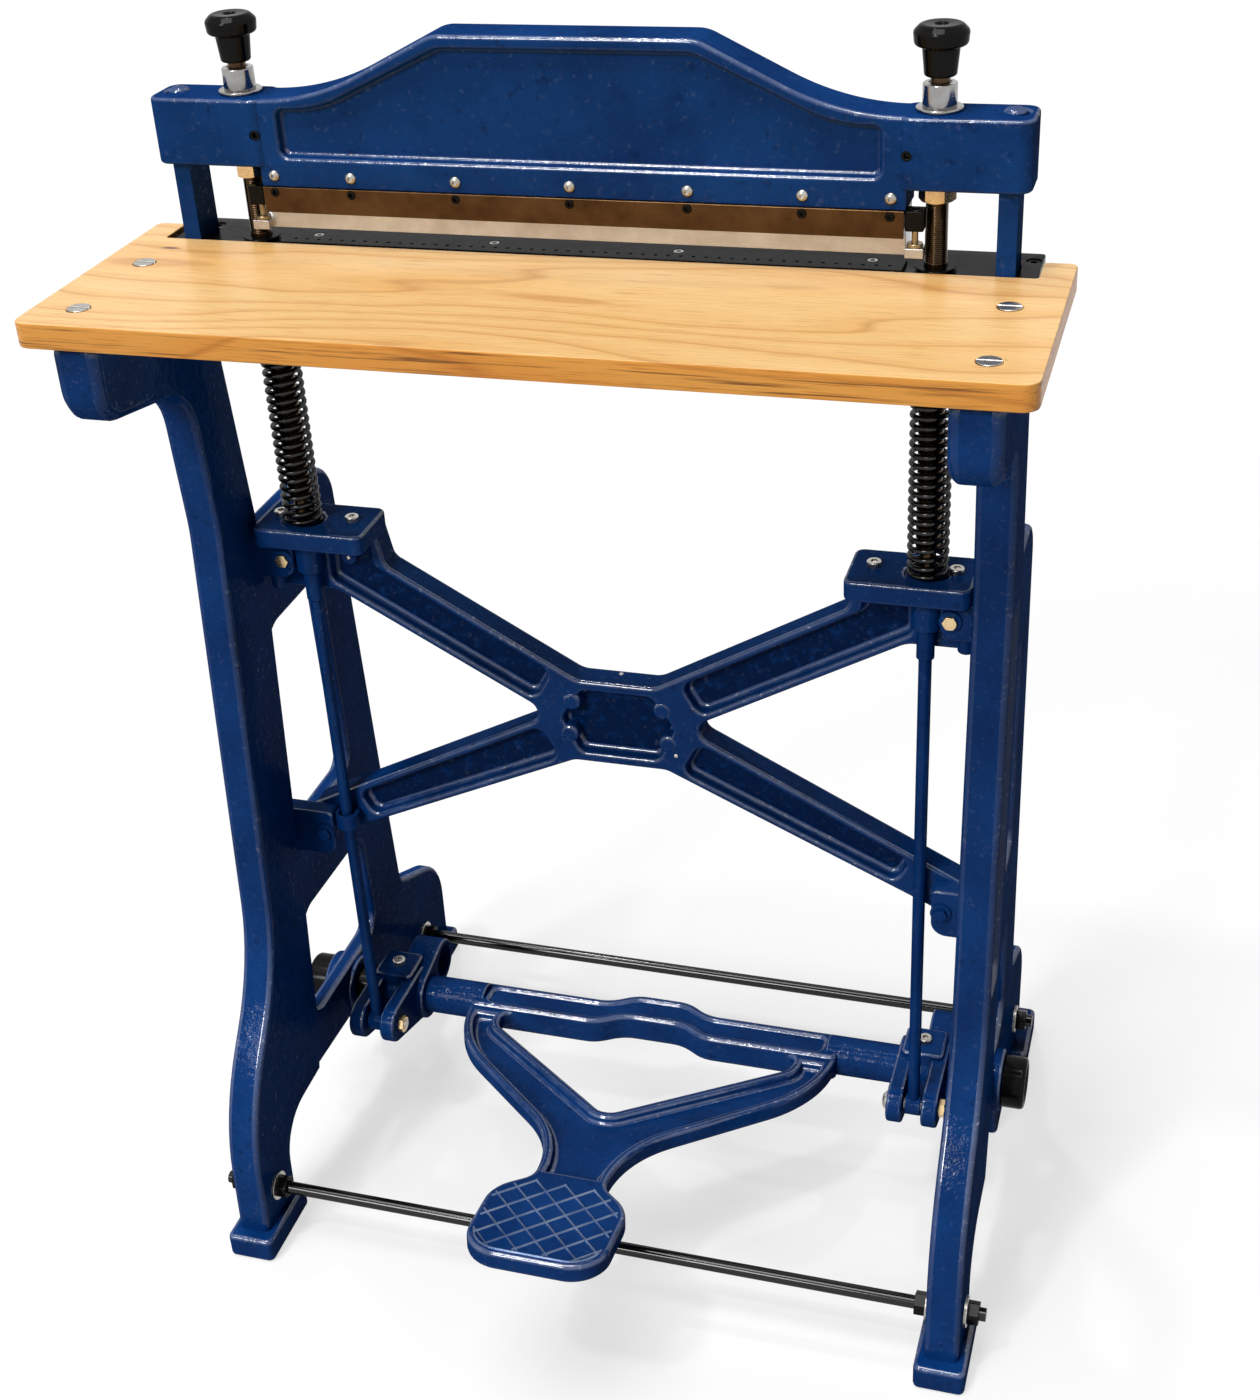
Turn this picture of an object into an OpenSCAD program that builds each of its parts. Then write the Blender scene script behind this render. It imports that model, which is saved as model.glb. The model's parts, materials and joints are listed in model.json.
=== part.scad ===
// Foot-operated perforating machine: cast stand, sliding needle head and treadle linkage.
// Millimetres, +Z up, front towards -Y, floor at z = 0.
// Every part is laid out round the plane of the two lifting rods (y = 0) and then moved
// back by rod_y, so that the origin lies under the middle of the whole machine.

/* [Main sizes] */
// Height of the table's top above the floor
table_h = 955; // [930:5:980]
// Distance between the two lifting rods
rod_span = 546; // [536:2:556]
// Distance from a lifting rod to the middle plane of its side frame
frame_gap = 60.5; // [57:0.5:67]
// Gap for the paper between die and stripper at rest
paper_gap = 12; // [11:0.5:14]

/* [Table and bed] */
// Reach of the wooden table past each end of the bed's notch
table_over = 25; // [20:1:50]
// Reach of the table in front of the rods
table_front = 218; // [210:1:250]
// Reach of the table's ends behind the rods
table_back = 18; // [14:1:30]
// Thickness of the table
table_t = 20; // [18:1:24]
// Depth of the bed casting behind the rods
bed_back = 45; // [42:1:55]

/* [Side frames] */
// Thickness of the front leg
leg_t = 31; // [29:1:34]
// Thickness of the webs and the rear leg
web_t = 18; // [16:1:22]
// Width of a foot pad
foot_w = 46; // [42:1:52]
// Height of a foot pad
foot_h = 26; // [20:1:30]
// Reach of the rear feet behind the rods
rear_reach = 300; // [295:1:320]
// Height of the nose that carries the table
nose_h = 63; // [55:1:70]

/* [Head] */
// Depth of the head casting, front to back
head_d = 40; // [38:1:44]
// Height of the boxes at the head's ends
box_h = 52; // [48:1:58]
// Rise of the crown above the boxes
crown_h = 51; // [40:1:58]
// Width of the rim round the recessed web
rim_w = 10; // [8:0.5:12]
// Diameter of the knobs
knob_d = 40; // [36:1:44]

/* [Rods and springs] */
// Height of the rod brackets' top faces
bracket_h = 700; // [690:1:710]
// Diameter of the rods in the head
rod_d = 17; // [15:0.5:18]
// Diameter of the rods inside the springs
core_d = 20; // [18:0.5:22]
// Outer diameter of the return springs
spring_d = 34; // [33:0.5:36]
// Diameter of the spring wire
wire_d = 4.5; // [3:0.25:5]
// Curls of one spring
curls = 21; // [16:1:22]
// Diameter of the pull rods
pull_d = 11; // [10:0.25:11.5]

/* [Treadle] */
// Height of the treadle's pivot
pivot_h = 126; // [122:1:130]
// Distance of the clevis pins from the pivot
crank_r = 65; // [62:0.5:68]
// Tilt of the treadle at rest
tilt = 8; // [7:0.5:9]
// Turn of the treadle from rest to full press
press = 18.6; // [17:0.1:19]
// Reach of the pedal from the pivot
treadle_l = 388; // [370:1:400]
// Width of the pedal
pedal_w = 128; // [116:2:140]
// Half width of the treadle's fork at the bar
fork_half = 190; // [180:1:200]
// Diameter of the treadle's bar
bar_d = 38; // [36:1:40]
// Thickness of the treadle's arms
arm_t = 18; // [16:1:22]

/* [Cross brace] */
// Height of the brace's centre
brace_h = 518; // [510:1:526]
// Depth of the brace, front to back
brace_d = 27; // [25:1:30]
// Width of the rims round the brace's channels
brace_rim = 7; // [6:0.5:9]

/* [Hidden] */
$fn = 64;
eps = 0.01;
run = 0.05;
slip = 0.3;

enamel = [0.05, 0.12, 0.45];
steel = [0.75, 0.75, 0.74];
black = [0.06, 0.06, 0.065];
wood = [0.76, 0.52, 0.26];
chrome = [0.85, 0.85, 0.86];
brass = [0.75, 0.62, 0.35];

rod_x = rod_span / 2;
frame_span = rod_span + 2 * frame_gap;
frame_x = frame_span / 2;
frame_in = frame_x - leg_t / 2;
frame_out = frame_x + leg_t / 2;
web_in = frame_in + 4;
web_out = web_in + web_t;

// Heights from the floor
seat_z = table_h - table_t;
bed_top = table_h - 3;
strip_z = table_h + paper_gap;
clamp_z = strip_z + 15;
rail_z = strip_z + 35;
box_z = rail_z + 15;
box_top = box_z + box_h;
crown_top = box_top + crown_h;
spring_z = bracket_h - 3;
spring_top = seat_z - 51;
boss_z = bracket_h - 49.5;

// The treadle's pivot lies so far behind the rods that its pins swing evenly about the level
swing = press / 2;
pivot_y = crank_r * cos(swing);
pin_z = pivot_h + crank_r * sin(swing);
stroke = 2 * crank_r * sin(swing);
strip_rise = stroke - paper_gap + 0.6;

pedal_front = pivot_y - treadle_l * cos(tilt) - arm_t / 2 * sin(tilt);
rod_y = -(pedal_front + rear_reach) / 2;

// Needle bar
bar_l = rod_span - 40;
head_front = -head_d / 2 - 2.5;
head_back = head_front + head_d;
clamp_front = head_front - 2.5;
clamp_back = clamp_front + 9;
block_back = 10;
needle_y = -6;
needle_d = 2;
needle_gap = 10;
needle_n = 2 * floor((bar_l / 2 - 10) / needle_gap) + 1;
screw_x = [for (s = [-0.48, -0.352, -0.181, 0, 0.181, 0.352, 0.48]) s * bar_l];

// Guide posts under the head's ends, just behind the bed's front edge
bed_front = -17;
post_w = 14.5;
post_x = frame_x - post_w / 2;
post_y = [bed_front + slip, 16];

// Cross brace and the lugs it is bolted to
wall_y = 9;
wall_end = frame_in - 6;
lug_x = rod_x + 12;
lug_top = bracket_h - 21;
lug_low = 345;
bolt_x = rod_x + 21;
rod_boss_d = 24;
bolt_z = [lug_low + 26, lug_top - 16];

// Cranks on the treadle's bar
ear_gap = 18;
ear_t = 15;
crank_half = ear_gap / 2 + ear_t;
pin_d = 10;
shaft_d = 30;
front_tie = [-170, 60];
rear_tie = [232, 64];
tie_d = 12;

echo(stroke = stroke, strip_rise = strip_rise, rod_y = rod_y, pivot_y = pivot_y + rod_y, pin_z = pin_z);

// Outline helpers

function unit(v) = v / norm(v);
function flat(p) = [p[0], p[1]];
function turned(v, a) = [v[0] * cos(a) - v[1] * sin(a), v[0] * sin(a) + v[1] * cos(a)];

// Arc that rounds corner q between its neighbours p and s; q[2] is the radius
function arc_at(p, q, s, steps) =
    q[2] == 0 ? [flat(q)] :
    let (u = unit(flat(p) - flat(q)), v = unit(flat(s) - flat(q)))
    let (half = acos(u * v) / 2, side = sign(cross(u, v)))
    let (centre = flat(q) + unit(u + v) * q[2] / sin(half))
    let (start = flat(q) + u * q[2] / tan(half) - centre)
    [for (k = [0 : steps]) centre + turned(start, -side * (180 - 2 * half) * k / steps)];

// Outline from corners [a, b, radius]
function rounded(c, steps = 8) = [for (i = [0 : len(c) - 1])
    each arc_at(c[(i + len(c) - 1) % len(c)], c[i], c[(i + 1) % len(c)], steps)];

// The same corners moved inwards by d; the corners run counter-clockwise
function inset(c, d) = [for (i = [0 : len(c) - 1])
    let (a = unit(flat(c[i]) - flat(c[(i + len(c) - 1) % len(c)])))
    let (b = unit(flat(c[(i + 1) % len(c)]) - flat(c[i])))
    let (n = [-a[1], a[0]], m = [-b[1], b[0]])
    let (p = flat(c[i]) + d * (n + m) / (1 + n * m))
    [p[0], p[1], max(c[i][2] - d * sign(cross(a, b)), 1)]];

// Right-hand corners given, the left ones mirrored
function both_sides(c) = concat(c, [for (i = [len(c) - 1 : -1 : 0]) [-c[i][0], c[i][1], c[i][2]]]);

// Corners of a bar of width w along the line from p to q
function strip_corners(p, q, w, r) =
    let (a = unit(q - p), n = [-a[1], a[0]] * w / 2)
    [for (c = [p - n, q - n, q + n, p + n]) [c[0], c[1], r]];

// Placing helpers

module in_place() {
    translate([0, rod_y, 0]) children();
}

module each_side() {
    children();
    mirror([1, 0, 0]) children();
}

// Outline in y and z, extruded from x0 to x1
module along_x(x0, x1) {
    translate([x0, 0, 0]) rotate([90, 0, 90]) linear_extrude(x1 - x0) children();
}

// Outline in x and z, extruded from y0 to y1
module along_y(y0, y1) {
    translate([0, y1, 0]) rotate([90, 0, 0]) linear_extrude(y1 - y0) children();
}

module rod_along_x(d, x0, x1, y, z) {
    translate([x0, y, z]) rotate([0, 90, 0]) cylinder(d = d, h = x1 - x0);
}

module rod_along_y(d, y0, y1, x, z) {
    translate([x, y0, z]) rotate([-90, 0, 0]) cylinder(d = d, h = y1 - y0);
}

module rod_along_z(d, z0, z1, x, y) {
    translate([x, y, z0]) cylinder(d = d, h = z1 - z0);
}

module box(low, high) {
    translate(low) cube(high - low);
}

module rounded_box(low, high, r) {
    corners = [[low[0], low[1], r], [high[0], low[1], r], [high[0], high[1], r], [low[0], high[1], r]];
    translate([0, 0, low[2]]) linear_extrude(high[2] - low[2]) polygon(rounded(corners));
}

// Two discs joined by their tangents, in one plane
module link_2d(p, rp, q, rq) {
    lean = acos((rp - rq) / norm(q - p));
    along = unit(q - p);
    left = turned(along, lean);
    right = turned(along, -lean);
    translate(p) circle(rp);
    translate(q) circle(rq);
    polygon([p + left * rp, p + right * rp, q + right * rq, q + left * rq]);
}

// Side frames

leg_outline = [[-202, 0, 0], [-137, 0, 0], [-133, 102, 44], [-50, 106, 0], [-37, 160, 0],
    [-21, 340, 400], [-2, 600, 300], [0, 700, 60], [-15, seat_z - 85, 50], [-15, seat_z - 36, 18],
    [37, seat_z - 36, 4], [37, seat_z, 0], [-208, seat_z, 4], [-208, seat_z - nose_h, 26],
    [-78, seat_z - nose_h - 24, 46], [-68, 715, 150], [-100, 275, 80], [-194, 160, 60]];
body_outline = [[-60, 106, 0], [92, 100, 40], [125, 0, 0], [rear_reach - 4, 0, 0],
    [rear_reach - 2, 118, 62], [194, 167, 16], [183, 320, 0], [170, 528, 300], [160, 686, 40],
    [-40, 686, 0], [-60, 300, 0]];
upper_window = [[-22, 368, 20], [113, 368, 16], [106, 585, 20], [-6, 585, 24]];
lower_window = [[-38, 160, 22], [120, 160, 20], [115, 276, 16], [-29, 280, 24]];
leg_hollow = [[-80, 340, 14], [-40, 340, 14], [-17, 690, 14], [-54, 700, 14]];
hollow_depth = 5;
boss_r = 30;

module foot_pad(y0, y1) {
    rounded_box([frame_x - foot_w / 2, y0, 0], [frame_x + foot_w / 2, y1, foot_h], 6);
}

// Lug towards the brace, with its lower inner corner rounded
module frame_lug(z0, z1) {
    corners = [[lug_x, z0, 14], [frame_x, z0, 0], [frame_x, z1, 0], [lug_x, z1, 4]];
    along_y(-wall_y, wall_y) polygon(rounded(corners));
}

module frame_solid() {
    along_x(frame_in, frame_out) polygon(rounded(leg_outline));
    along_x(web_in, web_out) polygon(rounded(body_outline));
    foot_pad(-214, -129);
    foot_pad(222, rear_reach);
    rod_along_x(2 * boss_r, frame_in, frame_out, pivot_y, pivot_h);
    frame_lug(lug_low, lug_low + 48);
    frame_lug(lug_top - 35, lug_top);
    rod_along_z(14, lug_top - 48, lug_top - 34, frame_in - 12, 0);
}

module side_frame() {
    difference() {
        frame_solid();
        along_x(frame_in - 1, frame_out + 1) {
            polygon(rounded(upper_window));
            polygon(rounded(lower_window));
        }
        along_x(frame_out - hollow_depth, frame_out + 1) polygon(rounded(leg_hollow));
        rod_along_x(shaft_d + 6, frame_in - 1, frame_out + 1, pivot_y, pivot_h);
        for (tie = [front_tie, rear_tie])
            rod_along_x(tie_d + 0.4, frame_in - 1, frame_out + 1, tie[0], tie[1]);
        for (z = bolt_z) rod_along_y(10.4, -wall_y - 1, wall_y + 1, bolt_x, z);
        rod_along_z(rod_boss_d + 2, boss_z - 10, lug_top + 1, rod_x, 0);
        for (y = table_screw_y) rod_along_z(6.2, seat_z - 32, seat_z + 1, table_screw_x, y);
        for (x = bed_bolt_x) rod_along_z(6.2, seat_z - 40, seat_z + 1, x, bed_bolt_y);
        // Room for the guide post below the bed
        box([frame_in - 1, post_y[0] - 2, seat_z - 30], [frame_x + 1, post_y[1] + 2, seat_z + 1]);
    }
}

module side_frame_left() {
    color(enamel) in_place() mirror([1, 0, 0]) side_frame();
}

module side_frame_right() {
    color(enamel) in_place() side_frame();
}

// Cross brace with a rod bracket at each upper end

plate_in = 64;
plate_end = rod_x - plate_in;
arm_in = wall_end - 56;
brace_outline = both_sides([[43, brace_h - 44, 18], [wall_end, brace_h - 170, 6],
    [wall_end, brace_h - 128, 6], [62, brace_h + 1, 12], [arm_in, brace_h + 109, 24],
    [wall_end, brace_h + 109, 4], [wall_end, bracket_h - 10, 0], [plate_end + 4, bracket_h - 10, 0],
    [plate_end - 3, brace_h + 137, 12], [36, brace_h + 40, 22]]);
brace_panel = both_sides([[36, brace_h - 34, 8], [52, brace_h, 10], [32, brace_h + 30, 8]]);
channel_depth = 12;
upper_channel = [[86, brace_h + 45], [arm_in - 24, brace_h + 127]];
lower_channel = [[80, brace_h - 36], [arm_in, brace_h - 124]];
channel_w = [47 - 2 * brace_rim, 44 - 2 * brace_rim];
hollow_x = [plate_end + 10, rod_x - 14];
hollow_z = [brace_h + 118, bracket_h - 18];
plate_y = [-28, 34];

module brace_channels() {
    along_y(wall_y - 1, wall_y + channel_depth) each_side() {
        polygon(rounded(strip_corners(upper_channel[0], upper_channel[1], channel_w[0], 9)));
        polygon(rounded(strip_corners(lower_channel[0], lower_channel[1], channel_w[1], 9)));
        polygon(rounded([[hollow_x[0], hollow_z[0], 6], [hollow_x[1], hollow_z[0], 6],
            [hollow_x[1], hollow_z[1], 0], [hollow_x[0], hollow_z[1], 0]]));
    }
    along_y(wall_y - 1, wall_y + channel_depth) polygon(rounded(brace_panel));
}

module rod_bracket() {
    rounded_box([plate_end, plate_y[0], bracket_h - 18], [wall_end, plate_y[1], bracket_h], 8);
    rod_along_z(rod_boss_d, boss_z, bracket_h - 17, rod_x, 0);
}

module cross_brace() {
    color(enamel) in_place() difference() {
        union() {
            difference() {
                along_y(wall_y, wall_y + brace_d) polygon(rounded(brace_outline));
                brace_channels();
            }
            each_side() {
                rod_bracket();
                for (p = [[46, brace_h + 15], [50, brace_h - 14]])
                    rod_along_y(15, wall_y, wall_y + channel_depth + 1, p[0], p[1]);
            }
        }
        each_side() {
            rod_along_z(spring_d + 2, spring_z, bracket_h + 1, rod_x, 0);
            rod_along_z(shank_d + 0.3, boss_z - 1, bracket_h, rod_x, 0);
            for (z = bolt_z) rod_along_y(10.4, wall_y - 1, wall_y + brace_d + 1, bolt_x, z);
            for (p = bracket_screw_at) rod_along_z(6.2, bracket_h - 14, bracket_h + 1, p[0], p[1]);
        }
        rod_along_y(guide_stem_d, wall_y - 1, wall_y + 20, -rod_x, guide_z + guide_h / 2);
    }
}

module brace_bolts() {
    color(steel) in_place() each_side() for (z = bolt_z) {
        rod_along_y(18, -wall_y - 6, -wall_y, bolt_x, z);
        rod_along_y(10, -wall_y - 1, wall_y + brace_d + 11, bolt_x, z);
    }
}

module brace_nuts() {
    color(steel) in_place() each_side() for (z = bolt_z)
        translate([bolt_x, wall_y + brace_d, z]) rotate([-90, 0, 0]) difference() {
            cylinder(d = 17 / cos(30), h = 8, $fn = 6);
            translate([0, 0, -1]) cylinder(d = 10, h = 10);
        }
}

bracket_screw_at = [[plate_end + 20, 4], [rod_x + 23, 4]];

module bracket_screws() {
    color(steel) in_place() each_side() for (p = bracket_screw_at) {
        rod_along_z(6, bracket_h - 13, bracket_h + 1, p[0], p[1]);
        translate([p[0], p[1], bracket_h]) difference() {
            cylinder(d = 12, h = 5);
            translate([0, 0, 2.5]) cylinder(d = 5.5, h = 5, $fn = 6);
        }
    }
}

// Guide eye of the left pull rod, flat against the brace
guide_z = brace_h - 142;
guide_h = 16;
guide_d = 23;
guide_stem_d = 8;

module rod_guide() {
    color(enamel) in_place() {
        difference() {
            rod_along_z(guide_d, guide_z, guide_z + guide_h, -rod_x, 0);
            rod_along_z(pull_d + 4, guide_z - 1, guide_z + guide_h + 1, -rod_x, 0);
            box([-rod_x - 20, wall_y, guide_z - 1], [-rod_x + 20, wall_y + 10, guide_z + guide_h + 1]);
        }
        rod_along_y(guide_stem_d, wall_y - 1, wall_y + 19, -rod_x, guide_z + guide_h / 2);
    }
}

// Tie rods between the feet

tie_washer_t = 3;
tie_nut_h = 10;
tie_tail = 6;
front_seats = [frame_in, frame_out];
rear_seats = [web_in, web_out];

module tie_rod(tie, seats) {
    reach = seats[1] + tie_washer_t + tie_nut_h + tie_tail;
    rod_along_x(tie_d, -reach, reach, tie[0], tie[1]);
}

module tie_washers(tie, seats) {
    for (x = [seats[0] - tie_washer_t, seats[1]]) difference() {
        rod_along_x(28, x, x + tie_washer_t, tie[0], tie[1]);
        rod_along_x(tie_d, x - 1, x + tie_washer_t + 1, tie[0], tie[1]);
    }
}

module tie_nuts(tie, seats) {
    for (x = [seats[0] - tie_washer_t - tie_nut_h, seats[1] + tie_washer_t])
        translate([x, tie[0], tie[1]]) rotate([0, 90, 0]) difference() {
            cylinder(d = 19 / cos(30), h = tie_nut_h, $fn = 6);
            translate([0, 0, -1]) cylinder(d = tie_d, h = tie_nut_h + 2);
        }
}

module tie_rod_front() {
    color(black) in_place() tie_rod(front_tie, front_seats);
}

module tie_rod_rear() {
    color(black) in_place() tie_rod(rear_tie, rear_seats);
}

module tie_rod_washers() {
    color(steel) in_place() each_side() {
        tie_washers(front_tie, front_seats);
        tie_washers(rear_tie, rear_seats);
    }
}

module tie_rod_nuts() {
    color(black) in_place() each_side() {
        tie_nuts(front_tie, front_seats);
        tie_nuts(rear_tie, rear_seats);
    }
}

// Bed, die and table

bed_end = frame_out - 0.5;
bed_bolt_x = [frame_x - 8, frame_x + 8];
bed_bolt_y = 28;
bush_d = 24;
bush_wall = 4.5;
die_y = [-15, 11];
die_t = 11;
die_half = bar_l / 2 - 3;
die_screw_x = [for (s = [-0.9, -0.3, 0.3, 0.9]) s * die_half];
die_screw_y = 6;

module bed_casting() {
    color(black) in_place() difference() {
        union() {
            rounded_box([-bed_end, bed_front, seat_z], [bed_end, bed_back, bed_top], 3);
            box([-frame_in + 8, bed_back - 21, seat_z - 50], [frame_in - 8, bed_back - 5, seat_z + 1]);
            each_side() rod_along_z(bush_d + 2 * bush_wall, seat_z - 22, seat_z + 1, rod_x, 0);
        }
        box([-die_half, die_y[0], table_h - die_t], [die_half, die_y[1], table_h]);
        box([-die_half + 4, needle_y - 5, seat_z - 1], [die_half - 4, needle_y + 5, table_h]);
        for (x = die_screw_x) rod_along_z(5.2, table_h - die_t - 8, table_h, x, die_screw_y);
        each_side() {
            rod_along_z(bush_d, seat_z - 23, table_h, rod_x, 0);
            box([post_x - post_w / 2 - slip, bed_front - 1, seat_z - 1],
                [post_x + post_w / 2 + slip, post_y[1] + slip, table_h]);
            for (x = bed_bolt_x) {
                rod_along_z(6.2, seat_z - 1, table_h, x, bed_bolt_y);
                rod_along_z(11, bed_top - 7, table_h, x, bed_bolt_y);
            }
        }
    }
}

module bed_bolts() {
    color(black) in_place() each_side() for (x = bed_bolt_x) {
        rod_along_z(6, seat_z - 30, bed_top - 6, x, bed_bolt_y);
        translate([x, bed_bolt_y, bed_top - 7]) difference() {
            cylinder(d = 10, h = 6);
            translate([0, 0, 3]) cylinder(d = 5.5, h = 5, $fn = 6);
        }
    }
}

module needle_holes(z0, z1, d) {
    for (i = [0 : needle_n - 1])
        rod_along_z(d, z0, z1, (i - (needle_n - 1) / 2) * needle_gap, needle_y);
}

module die_plate() {
    color(steel) in_place() difference() {
        box([-die_half, die_y[0], table_h - die_t], [die_half, die_y[1], table_h]);
        needle_holes(table_h - die_t - 1, table_h + 1, needle_d + 2 * slip);
        for (x = die_screw_x) {
            rod_along_z(5.2, table_h - die_t - 1, table_h + 1, x, die_screw_y);
            rod_along_z(8.4, table_h - 4, table_h + 1, x, die_screw_y);
        }
    }
}

module die_screws() {
    color(steel) in_place() for (x = die_screw_x) {
        rod_along_z(5, table_h - die_t - 7, table_h - 3, x, die_screw_y);
        translate([x, die_screw_y, table_h - 4]) difference() {
            cylinder(d = 8.2, h = 3.7);
            translate([0, 0, 2]) cylinder(d = 4.6, h = 3, $fn = 6);
        }
    }
}

table_screw_x = frame_x + 4;
table_screw_y = [-78, -181];
notch = frame_out + 1;
table_l = 2 * (notch + table_over);
table_corners = both_sides([[table_l / 2, -table_front, 12], [table_l / 2, table_back, 6],
    [notch, table_back, 4], [notch, bed_front - 0.5, 3]]);

module table_board() {
    color(wood) in_place() difference() {
        translate([0, 0, seat_z]) linear_extrude(table_t) polygon(rounded(table_corners));
        each_side() for (y = table_screw_y) {
            rod_along_z(6.6, seat_z - 1, table_h + 1, table_screw_x, y);
            rod_along_z(18.4, table_h - 3, table_h + 1, table_screw_x, y);
        }
    }
}

module table_screws() {
    color(steel) in_place() each_side() for (y = table_screw_y) difference() {
        union() {
            rod_along_z(6, seat_z - 30, table_h - 2, table_screw_x, y);
            rod_along_z(18, table_h - 3, table_h + 0.4, table_screw_x, y);
        }
        box([table_screw_x - 10, y - 1, table_h - 0.8], [table_screw_x + 10, y + 1, table_h + 1]);
    }
}

module rod_bushes() {
    color(black) in_place() each_side() difference() {
        union() {
            rod_along_z(bush_d, seat_z - 22, bed_top, rod_x, 0);
            rod_along_z(bush_d + 7, bed_top, table_h, rod_x, 0);
        }
        rod_along_z(rod_d + 2 * run, seat_z - 23, table_h + 1, rod_x, 0);
    }
}

module pivot_bushes() {
    color(brass) in_place() each_side() difference() {
        rod_along_x(shaft_d + 6, frame_in, frame_out, pivot_y, pivot_h);
        rod_along_x(shaft_d + 2 * run, frame_in - 1, frame_out + 1, pivot_y, pivot_h);
    }
}

// Return springs: one tube wound round each rod, its ends turned square to their seats

coil_r = (spring_d - wire_d) / 2;
coil_h = spring_top - spring_z;
bend_r = wire_d;
coil_start = wire_d + bend_r;
bend_steps = 3;
coil_rings = 8 * curls;
entry = atan2(bend_r, coil_r);

function spring_end() = concat([[coil_r, 0, 0]], [for (k = [0 : bend_steps - 1])
    let (a = 90 * k / bend_steps) [coil_r, bend_r * (1 - cos(a)), wire_d + bend_r * sin(a)]]);
function spring_coil() = [for (i = [0 : coil_rings])
    let (a = entry + 45 * i, z = coil_start + (coil_h - 2 * coil_start) * i / coil_rings)
    [coil_r * cos(a), coil_r * sin(a), z]];
function spun(p, a) = let (q = turned(p, a)) [q[0], q[1], p[2]];
function spring_finish() = let (e = spring_end(), last = 2 * entry + 45 * coil_rings)
    [for (i = [len(e) - 1 : -1 : 0]) spun([e[i][0], -e[i][1], coil_h - e[i][2]], last)];

spring_path = concat(spring_end(), spring_coil(), spring_finish());
spring_n = len(spring_path);

function spring_ring(i) =
    let (t = unit(spring_path[min(i + 1, spring_n - 1)] - spring_path[max(i - 1, 0)]))
    let (out = unit([spring_path[i][0], spring_path[i][1], 0]))
    let (n = unit(out - (out * t) * t), b = cross(t, n))
    [for (k = [0 : 5]) spring_path[i] + wire_d / 2 * (cos(60 * k) * n + sin(60 * k) * b)];

spring_gap = min([for (i = [0 : spring_n - 1], j = [i + 6 : 1 : spring_n - 1])
    norm(spring_path[i] - spring_path[j])]) - wire_d;
echo(least_gap_in_a_spring = spring_gap);

module return_spring() {
    points = [for (i = [0 : spring_n - 1]) each spring_ring(i)];
    last = 6 * (spring_n - 1);
    sides = [for (i = [0 : spring_n - 2], k = [0 : 5]) let (a = 6 * i, next = (k + 1) % 6)
        each [[a + k, a + 6 + k, a + next], [a + next, a + 6 + k, a + 6 + next]]];
    ends = [for (k = [1 : 4]) each [[0, k, k + 1], [last, last + k + 1, last + k]]];
    translate([rod_x, 0, spring_z]) polyhedron(points, concat(sides, ends));
}

module return_spring_left() {
    color(black) in_place() translate([-rod_span, 0, 0]) return_spring();
}

module return_spring_right() {
    color(black) in_place() return_spring();
}

// Head

box_in = rod_x - 27;
box_out = frame_x + 9.5;
head_corners = both_sides([[box_out - 12, box_z, 0], [box_out - 12, box_top, 0],
    [0.405 * bar_l, box_top, 200], [0.2 * bar_l, crown_top, 30]]);
web_corners = both_sides([[box_in - 11, box_z + 8, 6], [box_in - 11, box_top - rim_w + 3, 6],
    [0.401 * bar_l, box_top - rim_w + 2, 190], [0.193 * bar_l, crown_top - rim_w, 24]]);
web_sunk = 8;
box_proud = 3;
lock_x = rod_x - 19;
lock_z = box_z + 25;

module head_casting() {
    color(enamel) in_place() difference() {
        union() {
            difference() {
                along_y(head_front, head_back) polygon(rounded(head_corners));
                along_y(head_front - 1, head_front + web_sunk) polygon(rounded(web_corners));
                along_y(head_back - web_sunk, head_back + 1) polygon(rounded(web_corners));
            }
            box([-bar_l / 2 - 1, head_front, rail_z], [bar_l / 2 + 1, head_back - 4, box_z + 1]);
            each_side() rounded_box([box_in, head_front - box_proud, box_z],
                [box_out, head_back + box_proud, box_top], 11);
        }
        each_side() {
            rod_along_z(rod_d + 0.2, box_z - 1, box_top + 1, rod_x, 0);
            rod_along_z(8.4, box_z - 1, box_top + 1, post_x, 0);
            rod_along_z(20, box_top - 4, box_top + 1, post_x, 0);
            rod_along_y(8, head_front - box_proud - 1, -rod_d / 2 - 1, lock_x, lock_z);
        }
        for (x = screw_x) rod_along_y(4.4, head_front - 1, head_front + 20, x, rail_z + 8.5);
    }
}

module needle_block() {
    color(steel) in_place() difference() {
        box([-bar_l / 2, clamp_back, rail_z - 8], [bar_l / 2, block_back, rail_z]);
        box([-bar_l / 2 + 4, needle_y - 3, rail_z - 9], [bar_l / 2 - 4, needle_y + 3, rail_z - 2]);
        for (x = screw_x) rod_along_y(3.2, clamp_back - 1, clamp_back + 6, x, rail_z - 4);
    }
}

module needle_clamp() {
    color(steel) in_place() difference() {
        box([-bar_l / 2, clamp_front, clamp_z], [bar_l / 2, clamp_back, rail_z]);
        for (x = screw_x) {
            rod_along_y(3.2, clamp_front - 1, clamp_back + 1, x, rail_z - 4);
            rod_along_y(6.8, clamp_front - 1, clamp_front + 4, x, rail_z - 4);
        }
    }
}

module needle_row() {
    tip = strip_z + 1;
    color(steel) in_place() union() {
        box([-bar_l / 2 + 4, needle_y - 3, rail_z - 8], [bar_l / 2 - 4, needle_y + 3, rail_z - 2]);
        needle_holes(tip, rail_z - 7, needle_d);
    }
}

module rail_screws() {
    color(steel) in_place() for (x = screw_x) {
        rod_along_y(4, head_front - 1, head_front + 18, x, rail_z + 8.5);
        translate([x, head_front, rail_z + 8.5]) rotate([90, 0, 0]) difference() {
            cylinder(d1 = 9.5, d2 = 7, h = 3);
            translate([0, 0, 1.2]) cylinder(d = 3.6, h = 3, $fn = 6);
        }
    }
}

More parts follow.
